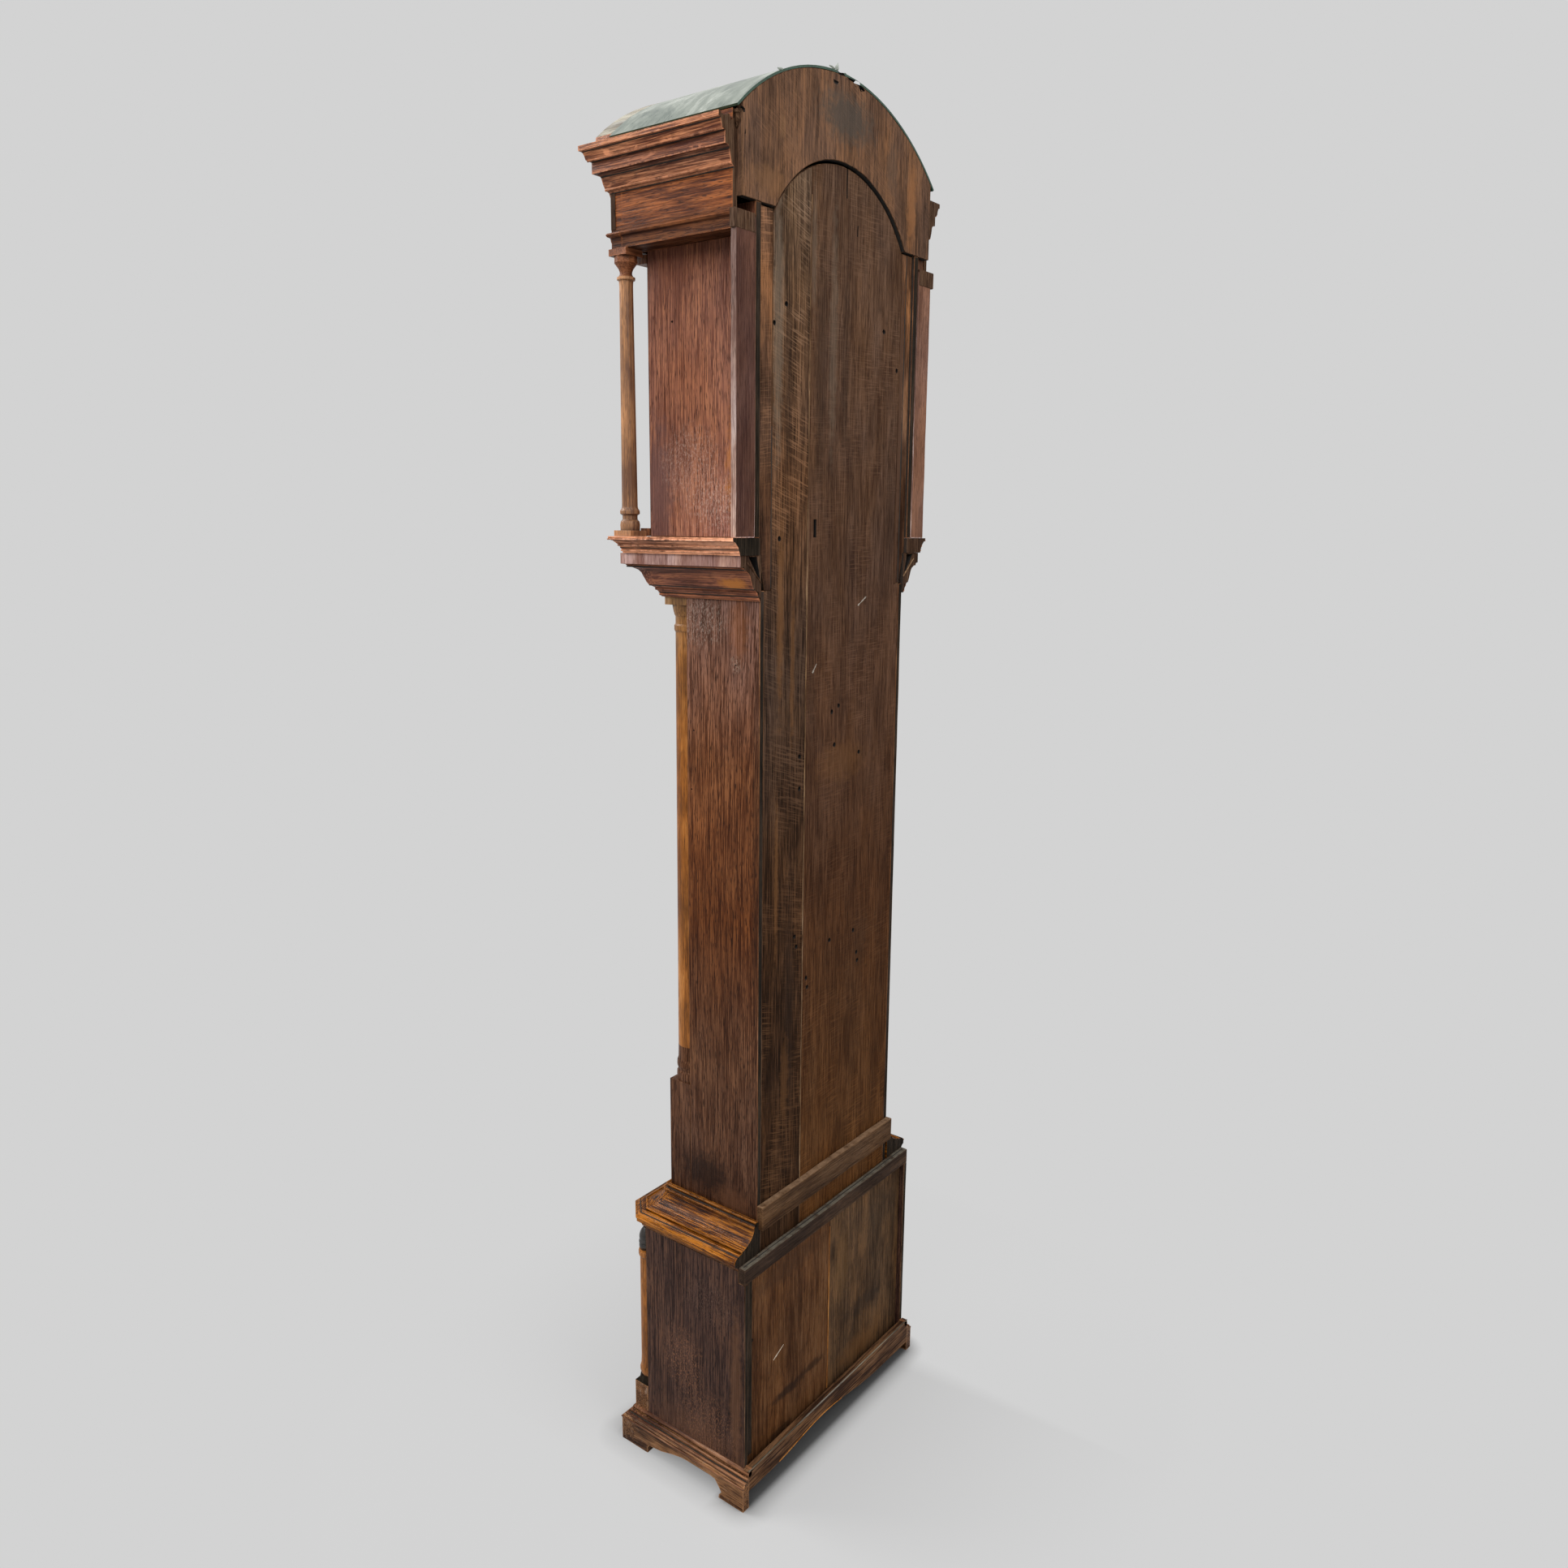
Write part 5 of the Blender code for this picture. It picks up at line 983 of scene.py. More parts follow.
plank_oak = wood(
    "plank_oak",
    ((0.032, 0.013, 0.006), (0.106, 0.048, 0.021), (0.195, 0.096, 0.043)),
    grain="X", seed=61.0, gloss=0.6, bump=0.5, lines=360.0, line_depth=0.8, clouds=0.9, wear=0.4,
)
dusty_oak = wood(
    "dusty_oak",
    ((0.06, 0.05, 0.038), (0.14, 0.12, 0.092), (0.23, 0.2, 0.16)),
    grain="X", seed=63.0, gloss=0.8, shine=0.05, clouds=0.9,
)
groove_dark = dull("groove_dark", (0.02, 0.016, 0.012), (0.008, 0.006, 0.005), 0.9, 12.0)

# Finishes of the bare wood at the back. Streaks are long thin marks.
PALE_STREAK = (0.17, 0.128, 0.092)
DARK_STREAK = (0.026, 0.014, 0.009)
WARM_STREAK = (0.18, 0.08, 0.03)


def streak(colour, x, low, high, width, strength):
    """A mark drawn out up a back board."""
    return (colour, (x, TRUNK_BACK, 0.5 * (low + high)), (width, 0.05, 0.5 * (high - low)), strength)


narrow_board_oak = wood(
    "narrow_board_oak",
    ((0.022, 0.011, 0.006), (0.066, 0.033, 0.018), (0.14, 0.073, 0.04)),
    seed=27.0, gloss=0.7, shine=0.05, bump=0.5, saw=0.5, saw_slant=-0.3, bands=45.0, band_depth=0.4, line_depth=0.75, clouds=0.4,
    levels=(
        (0.45, (0.72, 0.66, 0.56)), (0.95, (0.8, 0.72, 0.6)), (1.35, (0.76, 0.84, 0.98)),
        (1.6, (1.55, 1.45, 1.3)), (2.04, (1.7, 2.1, 2.45)),
    ),
    marks=(
        streak(PALE_STREAK, 0.15, 1.6, 2.02, 0.014, 0.5),
        streak(DARK_STREAK, 0.126, 1.55, 1.98, 0.012, 0.5),
        streak(DARK_STREAK, 0.165, 1.3, 1.62, 0.008, 0.5),
        streak(WARM_STREAK, 0.14, 1.25, 1.6, 0.01, 0.5),
        streak(WARM_STREAK, 0.11, 1.2, 1.48, 0.007, 0.45),
        streak(WARM_STREAK, 0.145, 0.88, 1.16, 0.006, 0.5),
        streak(DARK_STREAK, 0.11, 0.55, 1.05, 0.016, 0.5),
        streak(WARM_STREAK, 0.12, 0.6, 0.78, 0.014, 0.3),
    ),
)
wide_board_oak = wood(
    "wide_board_oak",
    ((0.036, 0.016, 0.009), (0.068, 0.033, 0.018), (0.112, 0.057, 0.033)),
    seed=29.0, gloss=0.7, shine=0.05, bump=0.5, saw=0.4, saw_slant=0.04, bands=16.0, band_depth=0.3, line_depth=0.75,
    clouds=0.35,
    levels=(
        (0.45, (1.44, 1.2, 0.68)), (0.95, (0.93, 0.78, 0.6)), (1.35, (1.17, 1.18, 1.23)), (2.04, (1.25, 1.36, 1.42)),
    ),
    marks=(
        streak(DARK_STREAK, 0.048, 1.55, 1.98, 0.018, 0.5),
        streak(PALE_STREAK, 0.018, 1.62, 2.02, 0.012, 0.3),
        streak(DARK_STREAK, -0.014, 1.6, 1.96, 0.012, 0.4),
        streak(PALE_STREAK, 0.068, 1.82, 2.03, 0.008, 0.3),
        streak(DARK_STREAK, -0.15, 1.4, 1.75, 0.02, 0.3),
        streak(DARK_STREAK, 0.06, 1.18, 1.42, 0.012, 0.4),
        streak(WARM_STREAK, -0.02, 1.14, 1.22, 0.08, 0.3),
        streak(DARK_STREAK, -0.09, 0.8, 0.95, 0.03, 0.3),
    ),
)
WING_LEVELS = (
    (1.455, (0.55, 0.52, 0.6)), (1.6, (0.86, 0.76, 0.68)), (1.68, (1.25, 1.25, 1.3)), (1.78, (1.6, 1.55, 1.55)),
    (1.88, (1.7, 1.5, 1.25)), (1.95, (2.1, 2.0, 1.9)),
)
wing_oak = wood(
    "wing_oak",
    ((0.036, 0.018, 0.01), (0.088, 0.046, 0.027), (0.175, 0.09, 0.048)),
    seed=31.0, gloss=0.7, shine=0.05, bump=0.5, saw=0.35, saw_slant=0.15, clouds=0.9, levels=WING_LEVELS,
)
far_wing_oak = wood(
    "far_wing_oak",
    ((0.036, 0.018, 0.01), (0.092, 0.047, 0.026), (0.18, 0.092, 0.046)),
    seed=32.0, gloss=0.7, shine=0.05, bump=0.5, clouds=0.9, levels=WING_LEVELS,
    marks=(streak((0.085, 0.044, 0.027), -0.168, 1.4, 2.02, 0.0085, 0.95),),
)
far_stile_oak = wood(
    "far_stile_oak",
    ((0.09, 0.04, 0.026), (0.178, 0.086, 0.055), (0.26, 0.13, 0.084)),
    seed=34.0, gloss=0.6, shine=0.08, bump=0.5, band_depth=0.2,
)
yoke_oak = wood(
    "yoke_oak",
    ((0.06, 0.033, 0.021), (0.118, 0.064, 0.04), (0.205, 0.104, 0.056)),
    seed=33.0, gloss=0.7, shine=0.05, bump=0.6, saw=0.3, saw_slant=-0.4, bands=22.0, band_depth=0.2, lines=330.0,
    line_depth=0.6, clouds=0.7,
    marks=(
        ((0.074, 0.058, 0.046), (0.0, TRUNK_BACK, 2.11), (0.08, 0.05, 0.04), 0.85),
        ((0.25, 0.11, 0.045), (-0.178, TRUNK_BACK, 2.03), (0.016, 0.05, 0.08), 0.7),
        ((0.22, 0.108, 0.048), (0.175, TRUNK_BACK, 1.99), (0.05, 0.05, 0.025), 0.4),
        ((0.08, 0.055, 0.041), (-0.12, TRUNK_BACK, 2.07), (0.02, 0.05, 0.05), 0.5),
        ((0.23, 0.12, 0.06), (0.15, TRUNK_BACK, 2.065), (0.008, 0.05, 0.02), 0.5),
    ),
)
stile_oak = wood(
    "stile_oak",
    ((0.05, 0.019, 0.014), (0.098, 0.044, 0.032), (0.15, 0.07, 0.05)),
    seed=35.0, gloss=0.6, shine=0.08, bump=0.5, band_depth=0.2,
)
stile_edge_oak = wood(
    "stile_edge_oak",
    ((0.07, 0.032, 0.024), (0.15, 0.078, 0.06), (0.27, 0.17, 0.14)),
    seed=36.0, gloss=0.5, clouds=0.9,
    levels=((1.53, (2.3, 2.8, 3.2)), (1.68, (1.6, 1.9, 2.1)), (1.8, 0.9), (1.95, 0.75)),
)
batten_oak = wood(
    "batten_oak",
    ((0.034, 0.016, 0.008), (0.076, 0.038, 0.018), (0.135, 0.072, 0.036)),
    grain="X", seed=37.0, gloss=0.66, shine=0.05, bump=0.5, saw=0.15, ledge=(0.23, 0.14, 0.082), wear=0.7, hollows=0.6,
)
rail_oak = wood(
    "rail_oak",
    ((0.02, 0.012, 0.009), (0.04, 0.024, 0.017), (0.075, 0.044, 0.028)),
    grain="X", seed=39.0, gloss=0.66, shine=0.05, bump=0.5, ledge=(0.135, 0.118, 0.09), wear=0.5, clouds=0.8,
)
base_back_warm = wood(
    "base_back_warm_oak",
    ((0.046, 0.017, 0.006), (0.104, 0.043, 0.016), (0.155, 0.072, 0.03)),
    seed=41.0, gloss=0.62, shine=0.06, bump=0.5, bands=18.0, band_depth=0.2, lines=300.0, line_depth=0.55, clouds=0.6, patina=0.3,
    marks=(
        ((0.02, 0.009, 0.005), (0.11, BASE_BACK, 0.125), (0.055, 0.05, 0.011), 0.8),
        ((0.022, 0.01, 0.005), (0.04, BASE_BACK, 0.13), (0.04, 0.05, 0.01), 0.7),
        ((0.024, 0.011, 0.006), (0.133, BASE_BACK, 0.06), (0.045, 0.05, 0.01), 0.7),
        ((0.04, 0.018, 0.009), (0.11, BASE_BACK, 0.36), (0.12, 0.05, 0.025), 0.5),
    ),
)
base_back_olive = wood(
    "base_back_olive_oak",
    ((0.034, 0.018, 0.009), (0.076, 0.041, 0.02), (0.132, 0.068, 0.03)),
    seed=43.0, gloss=0.62, shine=0.06, bump=0.5, bands=18.0, band_depth=0.25, lines=300.0, line_depth=0.55, clouds=0.9, patina=0.3,
    marks=(
        ((0.14, 0.072, 0.028), (-0.045, BASE_BACK, 0.28), (0.03, 0.05, 0.08), 0.5),
        ((0.13, 0.058, 0.02), (-0.1, BASE_BACK, 0.085), (0.08, 0.05, 0.03), 0.5),
        ((0.022, 0.013, 0.008), (-0.12, BASE_BACK, 0.165), (0.07, 0.05, 0.022), 0.6),
        ((0.035, 0.022, 0.013), (-0.17, BASE_BACK, 0.33), (0.06, 0.05, 0.05), 0.45),
    ),
)
edge_pale = wood(
    "worn_edge_oak",
    ((0.085, 0.03, 0.012), (0.19, 0.08, 0.034), (0.33, 0.16, 0.08)),
    seed=45.0, gloss=0.46, lines=180.0, clouds=0.9,
)
edge_raw = wood(
    "raw_edge_oak",
    ((0.035, 0.016, 0.008), (0.085, 0.044, 0.024), (0.165, 0.092, 0.052)),
    seed=47.0, gloss=0.7, shine=0.05, lines=180.0, clouds=0.9,
)
end_dark = wood(
    "dark_end_oak",
    ((0.01, 0.008, 0.006), (0.024, 0.018, 0.013), (0.052, 0.036, 0.026)),
    seed=48.0, gloss=0.75, shine=0.05, bump=0.6, lines=260.0,
)
end_raw = wood(
    "raw_end_oak",
    ((0.03, 0.016, 0.01), (0.068, 0.036, 0.022), (0.13, 0.078, 0.05)),
    seed=50.0, gloss=0.75, shine=0.05, bump=0.8, lines=300.0, bands=160.0,
)
break_pale = wood(
    "broken_oak",
    ((0.09, 0.052, 0.032), (0.2, 0.128, 0.084), (0.4, 0.3, 0.22)),
    seed=51.0, gloss=0.8, shine=0.05, bump=0.9, lines=300.0, clouds=1.0,
)
inside_oak = wood(
    "inside_oak",
    ((0.065, 0.032, 0.017), (0.115, 0.06, 0.034), (0.18, 0.1, 0.06)),
    grain="X", seed=49.0, gloss=0.66, shine=0.06, bump=0.4,
)
trunk_sliver = wood(
    "trunk_sliver",
    ((0.07, 0.036, 0.018), (0.21, 0.124, 0.066), (0.345, 0.225, 0.128)),
    seed=53.0, gloss=0.7, clouds=1.0,
)
base_sliver = wood(
    "base_sliver",
    ((0.14, 0.046, 0.01), (0.36, 0.135, 0.026), (0.48, 0.21, 0.055)),
    seed=55.0, gloss=0.6, clouds=0.9,
)
# Grey for the arch top in front of the roof: dust and a painted sheen.
roof_dust_and_sheen = wood(
    "roof_dust_and_sheen",
    ((0.17, 0.15, 0.125), (0.32, 0.31, 0.275), (0.45, 0.45, 0.41)),
    grain="Y", seed=57.0, gloss=0.5, clouds=0.9,
)

# Finishes of the rest
roof_paint = paint_roof("roof_paint")
roof_edge = dull("roof_edge_paint", (0.03, 0.075, 0.045), (0.012, 0.032, 0.02), 0.45, 4.0, 180.0)
moss = dull("moss", (0.085, 0.082, 0.045), (0.022, 0.022, 0.014), 0.95, 7.0, 420.0, 0.8)
brass = metal("old_brass", (0.56, 0.4, 0.16), (0.3, 0.19, 0.07), 0.28, 3.0)
bell_metal = metal("bell_metal", (0.58, 0.47, 0.28), (0.34, 0.26, 0.14), 0.24, 5.0)
steel = metal("old_steel", (0.4, 0.4, 0.39), (0.22, 0.2, 0.18), 0.32, 7.0)
blued = metal("blued_steel", (0.035, 0.045, 0.085), (0.02, 0.024, 0.045), 0.25, 9.0)
lead = metal("cast_lead", (0.2, 0.2, 0.2), (0.1, 0.1, 0.1), 0.55, 11.0)
silvered = metal("silvered_brass", (0.66, 0.64, 0.58), (0.5, 0.46, 0.38), 0.36, 13.0)
gut = dull("gut", (0.42, 0.3, 0.15), (0.24, 0.15, 0.07), 0.5, 5.0, 900.0)
scratch_white = dull("scratch_white", (0.7, 0.6, 0.48), (0.3, 0.2, 0.12), 0.9, 9.0, 500.0)
ebonised = dull("ebonised", (0.036, 0.03, 0.026), (0.012, 0.01, 0.009), 0.3, 14.0, 300.0)
# Near-black for faces inside the case: painted shade.
inside_shade = dull("inside_shade", (0.04, 0.024, 0.015), (0.016, 0.01, 0.007), 0.9, 16.0, 160.0)
chalk = dull("chalk", (0.46, 0.42, 0.36), (0.16, 0.12, 0.09), 0.95, 6.0, 700.0)
# Black wax in the engraved dial marks, also the keyholes' painted shade.
wax_and_shade = dull("black_wax_and_shade", (0.02, 0.018, 0.016), (0.01, 0.009, 0.008), 0.6, 8.0)
pane_glass = window_glass("old_glass")
DIAL_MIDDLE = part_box("dial")[0][2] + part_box("dial")[1][0]
MATTED_FIELD = 0.103
WINDING_X = 0.5 * (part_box("strike_barrel")[1][0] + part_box("strike_barrel")[0][0])
WINDING_Z = 0.5 * (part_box("strike_barrel")[1][2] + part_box("strike_barrel")[0][2])
dial_brass = dial_plate("dial_brass", DIAL_MIDDLE, MATTED_FIELD)
cast_brass = metal("cast_brass", (0.78, 0.57, 0.24), (0.5, 0.34, 0.13), 0.26, 15.0)

# Trunk back: nail holes, cracks and the notch beside the seam are cut into the boards
NAILS = [
    (0.132, 1.844), (0.159, 1.816), (-0.116, 1.839), (-0.156, 1.786), (-0.012, 1.271), (0.006, 1.263),
    (-0.002, 1.21), (-0.072, 1.189), (0.09, 1.204), (0.089, 1.154), (0.144, 1.527), (-0.067, 0.887),
    (0.001, 0.888), (-0.078, 0.845), (-0.081, 0.83), (0.065, 0.842), (0.062, 0.826), (0.097, 0.92),
    (0.092, 0.902),
]
CRACKS = [
    (-0.0095, 2.007, 2.05, 0.0032, 0.03),
    (-0.039, 1.961, 1.976, 0.0026, -0.04),
    (0.058, 1.529, 1.555, 0.007, 0.0),
]
BOARD_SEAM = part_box("backboard_right")[0][0]
for node, finish, side in (("backboard_right", narrow_board_oak, 1.0), ("backboard_left", wide_board_oak, -1.0)):
    mine = [(x, z) for x, z in NAILS if (x - BOARD_SEAM) * side > 0.004]
    cutter = holes([((x, TRUNK_BACK, z), 0.0043) for x, z in mine], (0.0, 1.0, 0.0), seed=5)
    if side < 0.0:
        cutter = merged(cutter, slots(CRACKS))
    dressed(node, finish, edge_raw, 0.001, step=0.03, amount=0.0005, seed=2.0 + side, cutter=cutter)

# The paired pieces of the case and hood
TRUNK_BLOCK_TOP = 0.713
BASE_BLOCK_TOP = 0.1063
BASE_RINGS_TOP = 0.129
CAPITAL_FOOT = 1.886


def trunk_block(centre, normal):
    return centre.z < TRUNK_BLOCK_TOP


def base_block(centre, normal):
    return centre.z < BASE_BLOCK_TOP


def base_rings(centre, normal):
    return centre.z < BASE_RINGS_TOP


def capital(centre, normal):
    return centre.z > CAPITAL_FOOT


def looks_aside(centre, normal):
    """True for a face that looks away from the clock's middle."""
    return abs(normal.x) > 0.85 and normal.x * centre.x > 0.0


def looks_inside(centre, normal):
    """True for a face that looks to the clock's middle."""
    return abs(normal.x) > 0.85 and normal.x * centre.x < 0.0


def far_end(centre, normal):
    """True for a face at the back of the clock's left side."""
    return looks_back(centre, normal) and centre.x < 0.0


MARKS_ON_SIDE = {
    "trunk_side_right": [
        ((TRUNK_SIDE, 0.0698, 1.347), 0.0016), ((TRUNK_SIDE, -0.0122, 1.243), 0.0016), ((TRUNK_SIDE, -0.0172, 1.152), 0.0016),
    ],
    "hood_side_right": [((HOOD_SIDE, -0.033, 1.824), 0.0022)],
}
# Back ends take the dark end finish: dark end grain, and painted shade of the narrow gaps behind them.
BACK_END = [(looks_back, end_dark)]
STILE_SHAVE = [(-0.2425, 1.52), (-0.2425, 1.921), (-0.25, 1.921), (-0.25, 1.52)]
CAP_FOOT = 0.361
CAP_AXIS = (0.2231, -0.096)
CAP_PROFILE = [
    (0.0086, 0.36), (0.0092, 0.3645), (0.0105, 0.3662), (0.0105, 0.3698), (0.0094, 0.3718), (0.0108, 0.3738),
    (0.0107, 0.3766), (0.0093, 0.3788), (0.0102, 0.382), (0.01, 0.3867), (0.0088, 0.3915), (0.0065, 0.3965),
    (0.0036, 0.4005),
]
for word in ("right", "left"):
    cuts = {node: holes(places, (1.0, 0.0, 0.0), seed=8) for node, places in MARKS_ON_SIDE.items() if word in node}
    # The wing's outer edge is painted dark: shade in the gap beside the stile.
    wing, zones = wing_oak if word == "right" else far_wing_oak, [(looks_aside, end_dark)]
    dressed("back_wing_" + word, wing, edge_raw, 0.001, step=0.03, amount=0.0005, seed=4.0, zones=zones)
    node = "trunk_side_" + word
    dressed(node, trunk_oak, edge_pale, 0.0008, step=0.05, amount=0.0003, cutter=cuts.get(node), zones=BACK_END)
    dressed("trunk_column_" + word, trunk_column_oak, None, 0.0004, zones=[(trunk_block, trunk_oak)])
    side = 1.0 if word == "right" else -1.0
    head = [(side * x, z) for x, z in ((0.2, CAP_FOOT), (0.25, CAP_FOOT), (0.25, 0.42), (0.2, 0.42))]
    zones = [(base_block, plinth_oak), (base_rings, end_dark)]
    dressed("base_column_" + word, trunk_column_oak, None, 0.0004, cutter=prism(head, -0.12, -0.07, 0), zones=zones)
    cap = turned(side * CAP_AXIS[0], CAP_AXIS[1], CAP_PROFILE)
    settle("base_column_cap_" + word, cap, [ebonised], BODY_OF["base_column_" + word])
    dressed("base_side_" + word, base_side_oak, edge_raw, 0.001, step=0.04, amount=0.0004, zones=BACK_END)
    node = "hood_side_" + word
    # The hood side's inner face is painted dark as shade inside the hood.
    zones = BACK_END + [(looks_inside, inside_shade)]
    dressed(node, hood_side_oak, edge_pale, 0.0008, step=0.05, amount=0.0003, cutter=cuts.get(node), zones=zones)
    zones = [(looks_aside, stile_edge_oak)]
    face, shave = (stile_oak, None) if word == "right" else (far_stile_oak, prism(STILE_SHAVE, 0.108, 0.119, 1))
    dressed("hood_stile_" + word, face, stile_edge_oak, 0.0012, step=0.02, amount=0.0007, cutter=shave, zones=zones)
    dressed("hood_column_" + word, hood_column_oak, None, 0.0004, zones=[(capital, front_oak)])
    dressed("hood_frieze_" + word, frieze_oak, None, 0.0, smooth=22.0, zones=[(looks_back, end_raw)])

nail = holes([((0.209, BASE_BACK, 0.276), 0.0042)], (0.0, 1.0, 0.0), seed=3)
dressed("base_back_right", base_back_warm, edge_raw, 0.001, step=0.04, axis=0, amount=0.0003, cutter=nail)
dressed("base_back_left", base_back_olive, edge_raw, 0.001, step=0.04, axis=0, amount=0.0003)
# A dark strip in the corner beside the base side's lip: dirt and painted shade.
corner_dirt_and_shade = brick((0.2085, BASE_BACK - 0.0002, 0.07), (0.2294, BASE_BACK + 0.0004, 0.384))
settle("base_corner_dirt_and_shade", corner_dirt_and_shade, [end_dark], BODY_OF["base_back_right"])
SHARES = (0.0, 0.14, 0.3, 0.45, 0.6, 0.75, 1.0)
scratch = [(0.1517 - 0.0275 * share, BASE_BACK + 0.0001, 0.206 + 0.013 * share) for share in SHARES]
mesh = rod(scratch, 0.001, 0.25, (0.0, 1.0, 0.0), 6, 0.9, 11)
settle("base_scratch", mesh, [scratch_white], BODY_OF["base_back_right"])
dressed("base_back_rail", rail_oak, None, 0.0012, step=0.025, axis=0, amount=0.0006)
rail_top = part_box("base_back_rail")[1][2]
groove = [(0.232, 0.1232, rail_top), (0.0, 0.1236, rail_top), (-0.232, 0.1232, rail_top)]
settle("rail_groove", rod(groove, 0.0009, sides=6), [groove_dark], BODY_OF["base_back_rail"])
dressed("back_batten", batten_oak, None, 0.0014, step=0.02, axis=0, amount=0.0007)
dressed("trunk_front_frame", trunk_oak, edge_pale, 0.001)
dressed("base_front", base_side_oak, edge_pale, 0.001)
PLANK_HALF = 0.2403
PLANK_INSIDE = 0.1307
PLANK_TOP = 0.066
PLANK_NEAR, PLANK_FAR = 0.0305, 0.0185
PLANK_RISE, PLANK_PEAK, PLANK_SPAN = 0.014, 0.03, 0.155
plinth_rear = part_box("plinth")[1][1]


def plank_foot(x):
    """Height of the plank's lower edge, which slopes along the plank and rises to one side of the middle."""
    slope = (PLANK_NEAR - PLANK_FAR) * (x + PLANK_HALF) / (2.0 * PLANK_HALF)
    share = min(1.0, abs(x - PLANK_PEAK) / PLANK_SPAN)
    return PLANK_FAR + slope + PLANK_RISE * 0.5 * (1.0 + math.cos(math.pi * share))


gone = [(PLANK_HALF, -0.005), (PLANK_HALF, 0.06), (-PLANK_HALF, 0.06), (-PLANK_HALF, -0.005)]
dressed("plinth", plinth_oak, None, 0.0, smooth=22.0, cutter=prism(gone, 0.1305, plinth_rear + 0.004, 0))
foot = [PLANK_HALF * (1.0 - number / 12.0) for number in range(25)]
outline = [(x, plank_foot(x)) for x in foot] + [(-PLANK_HALF, PLANK_TOP), (PLANK_HALF, PLANK_TOP)]
plank = prism(outline, PLANK_INSIDE, plinth_rear, 0)
settle("plinth_plank", plank, [plank_oak], BODY_OF["plinth"], smooth=25.0)
lit_edge = [(x, plinth_rear, plank_foot(x) + 0.001) for x in foot[4:14]]
settle("plank_lit_edge", rod(lit_edge, 0.0011, sides=6), [base_sliver], BODY_OF["plinth"])
top_edge = [(x, plinth_rear - 0.0006, PLANK_TOP) for x in (PLANK_HALF, 0.0, -PLANK_HALF)]
settle("plank_top_edge", rod(top_edge, 0.0012, sides=6), [dusty_oak], BODY_OF["plinth"])
dressed("seatboard", inside_oak, edge_raw, 0.001)

# Mouldings, with the beads that run round them
THROAT_FASCIA_Z = 1.486


def throat_fascia(centre, normal):
    return centre.z > THROAT_FASCIA_Z and abs(normal.z) < 0.3 and normal.y < 0.5


VOID = [(0.1897, 1.466), (0.1955, 1.49), (0.1985, 1.5025), (0.2165, 1.5025)]
throat_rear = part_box("throat_moulding")[1][1]
voids = merged(*[prism([(side * x, z) for x, z in VOID], throat_rear - 0.015, throat_rear + 0.004) for side in (1, -1)])
# The throat's inner faces are painted dark as shade inside the case.
zones = [(looks_back, end_raw), (throat_fascia, fascia_oak), (looks_inside, inside_shade)]
dressed("throat_moulding", throat_oak, None, 0.0, smooth=20.0, cutter=voids, zones=zones)
dressed("base_moulding", base_moulding_oak, None, 0.0, smooth=20.0, zones=BACK_END)
# The hood base frame's inner faces are painted dark as shade inside the hood.
zones = [(far_end, end_raw), (looks_back, end_dark), (looks_inside, inside_shade)]
dressed("hood_base_frame", hood_base_oak, None, 0.0, smooth=20.0, zones=zones)

BEADS = [
    ("plinth", plinth_bead_oak, ((0.0425, 0.0014), (0.0482, 0.0021), (0.0532, 0.0019))),
    ("base_moulding", base_moulding_oak, ((0.4744, 0.0018), (0.4671, 0.0022), (0.4408, 0.0022), (0.4306, 0.0016))),
    ("throat_moulding", throat_oak, ((1.444, 0.0024), (1.452, 0.0024), (1.487, 0.0016))),
    ("hood_base_frame", hood_base_oak, ((1.508, 0.0014), (1.5155, 0.0017), (1.524, 0.0011))),
]
for node, finish, levels in BEADS:
    for number, (height, radius) in enumerate(levels):
        mesh = rod(rim(node, height), radius)
        settle("%s_bead_%d" % (node, number), mesh, [finish], BODY_OF[node], smooth=50.0)

# Dark rods laid in the quirks between the members: dirt there and painted shade under the beads.
GROOVES = [
    ("plinth", 0.0495, 0.0495, 0.0009),
    ("base_moulding", 0.4691, 0.4691, 0.0011),
    ("base_moulding", 0.4351, 0.4386, 0.0009),
    ("base_moulding", 0.4196, 0.4196, 0.0008),
    ("throat_moulding", 1.444, 1.4497, 0.0009),
    ("throat_moulding", 1.4565, 1.458, 0.001),
    ("throat_moulding", 1.4845, 1.4845, 0.001),
    ("hood_base_frame", 1.508, 1.5155, 0.0007),
    ("hood_base_frame", 1.523, 1.523, 0.0008),
]
for number, (node, low, high, radius) in enumerate(GROOVES):
    middle = [(first + second) / 2.0 for first, second in zip(rim(node, low), rim(node, high))]
    mesh = rod(middle, radius, sides=6, ragged=0.35, seed=number)
    settle("moulding_groove_%d" % number, mesh, [groove_dark], BODY_OF[node], smooth=50.0)

PLINTH_CAP = [(0.006, 0.0595, 0.0046), (0.01, 0.065, 0.003)]
for number, (inset, height, radius) in enumerate(PLINTH_CAP):
    path = []
    for point in rim("plinth", 0.0532):
        ahead = inset if point.y < 0.0 else 0.0
        path.append((point.x - math.copysign(inset, point.x), point.y + ahead, height))
    cap = rod(path, radius)
    settle("plinth_cap_%d" % number, cap, [plinth_bead_oak], BODY_OF["plinth"], smooth=50.0)

# The strip that closes the plinth behind the base boards, and slivers in the open seams
ledge_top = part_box("plinth")[1][2] - 0.0015
ledge = brick((-0.2235, BASE_BACK + 0.0002, 0.044), (0.2235, PLANK_INSIDE, ledge_top))
settle("plinth_back_ledge", ledge, [edge_raw], BODY_OF["plinth"])


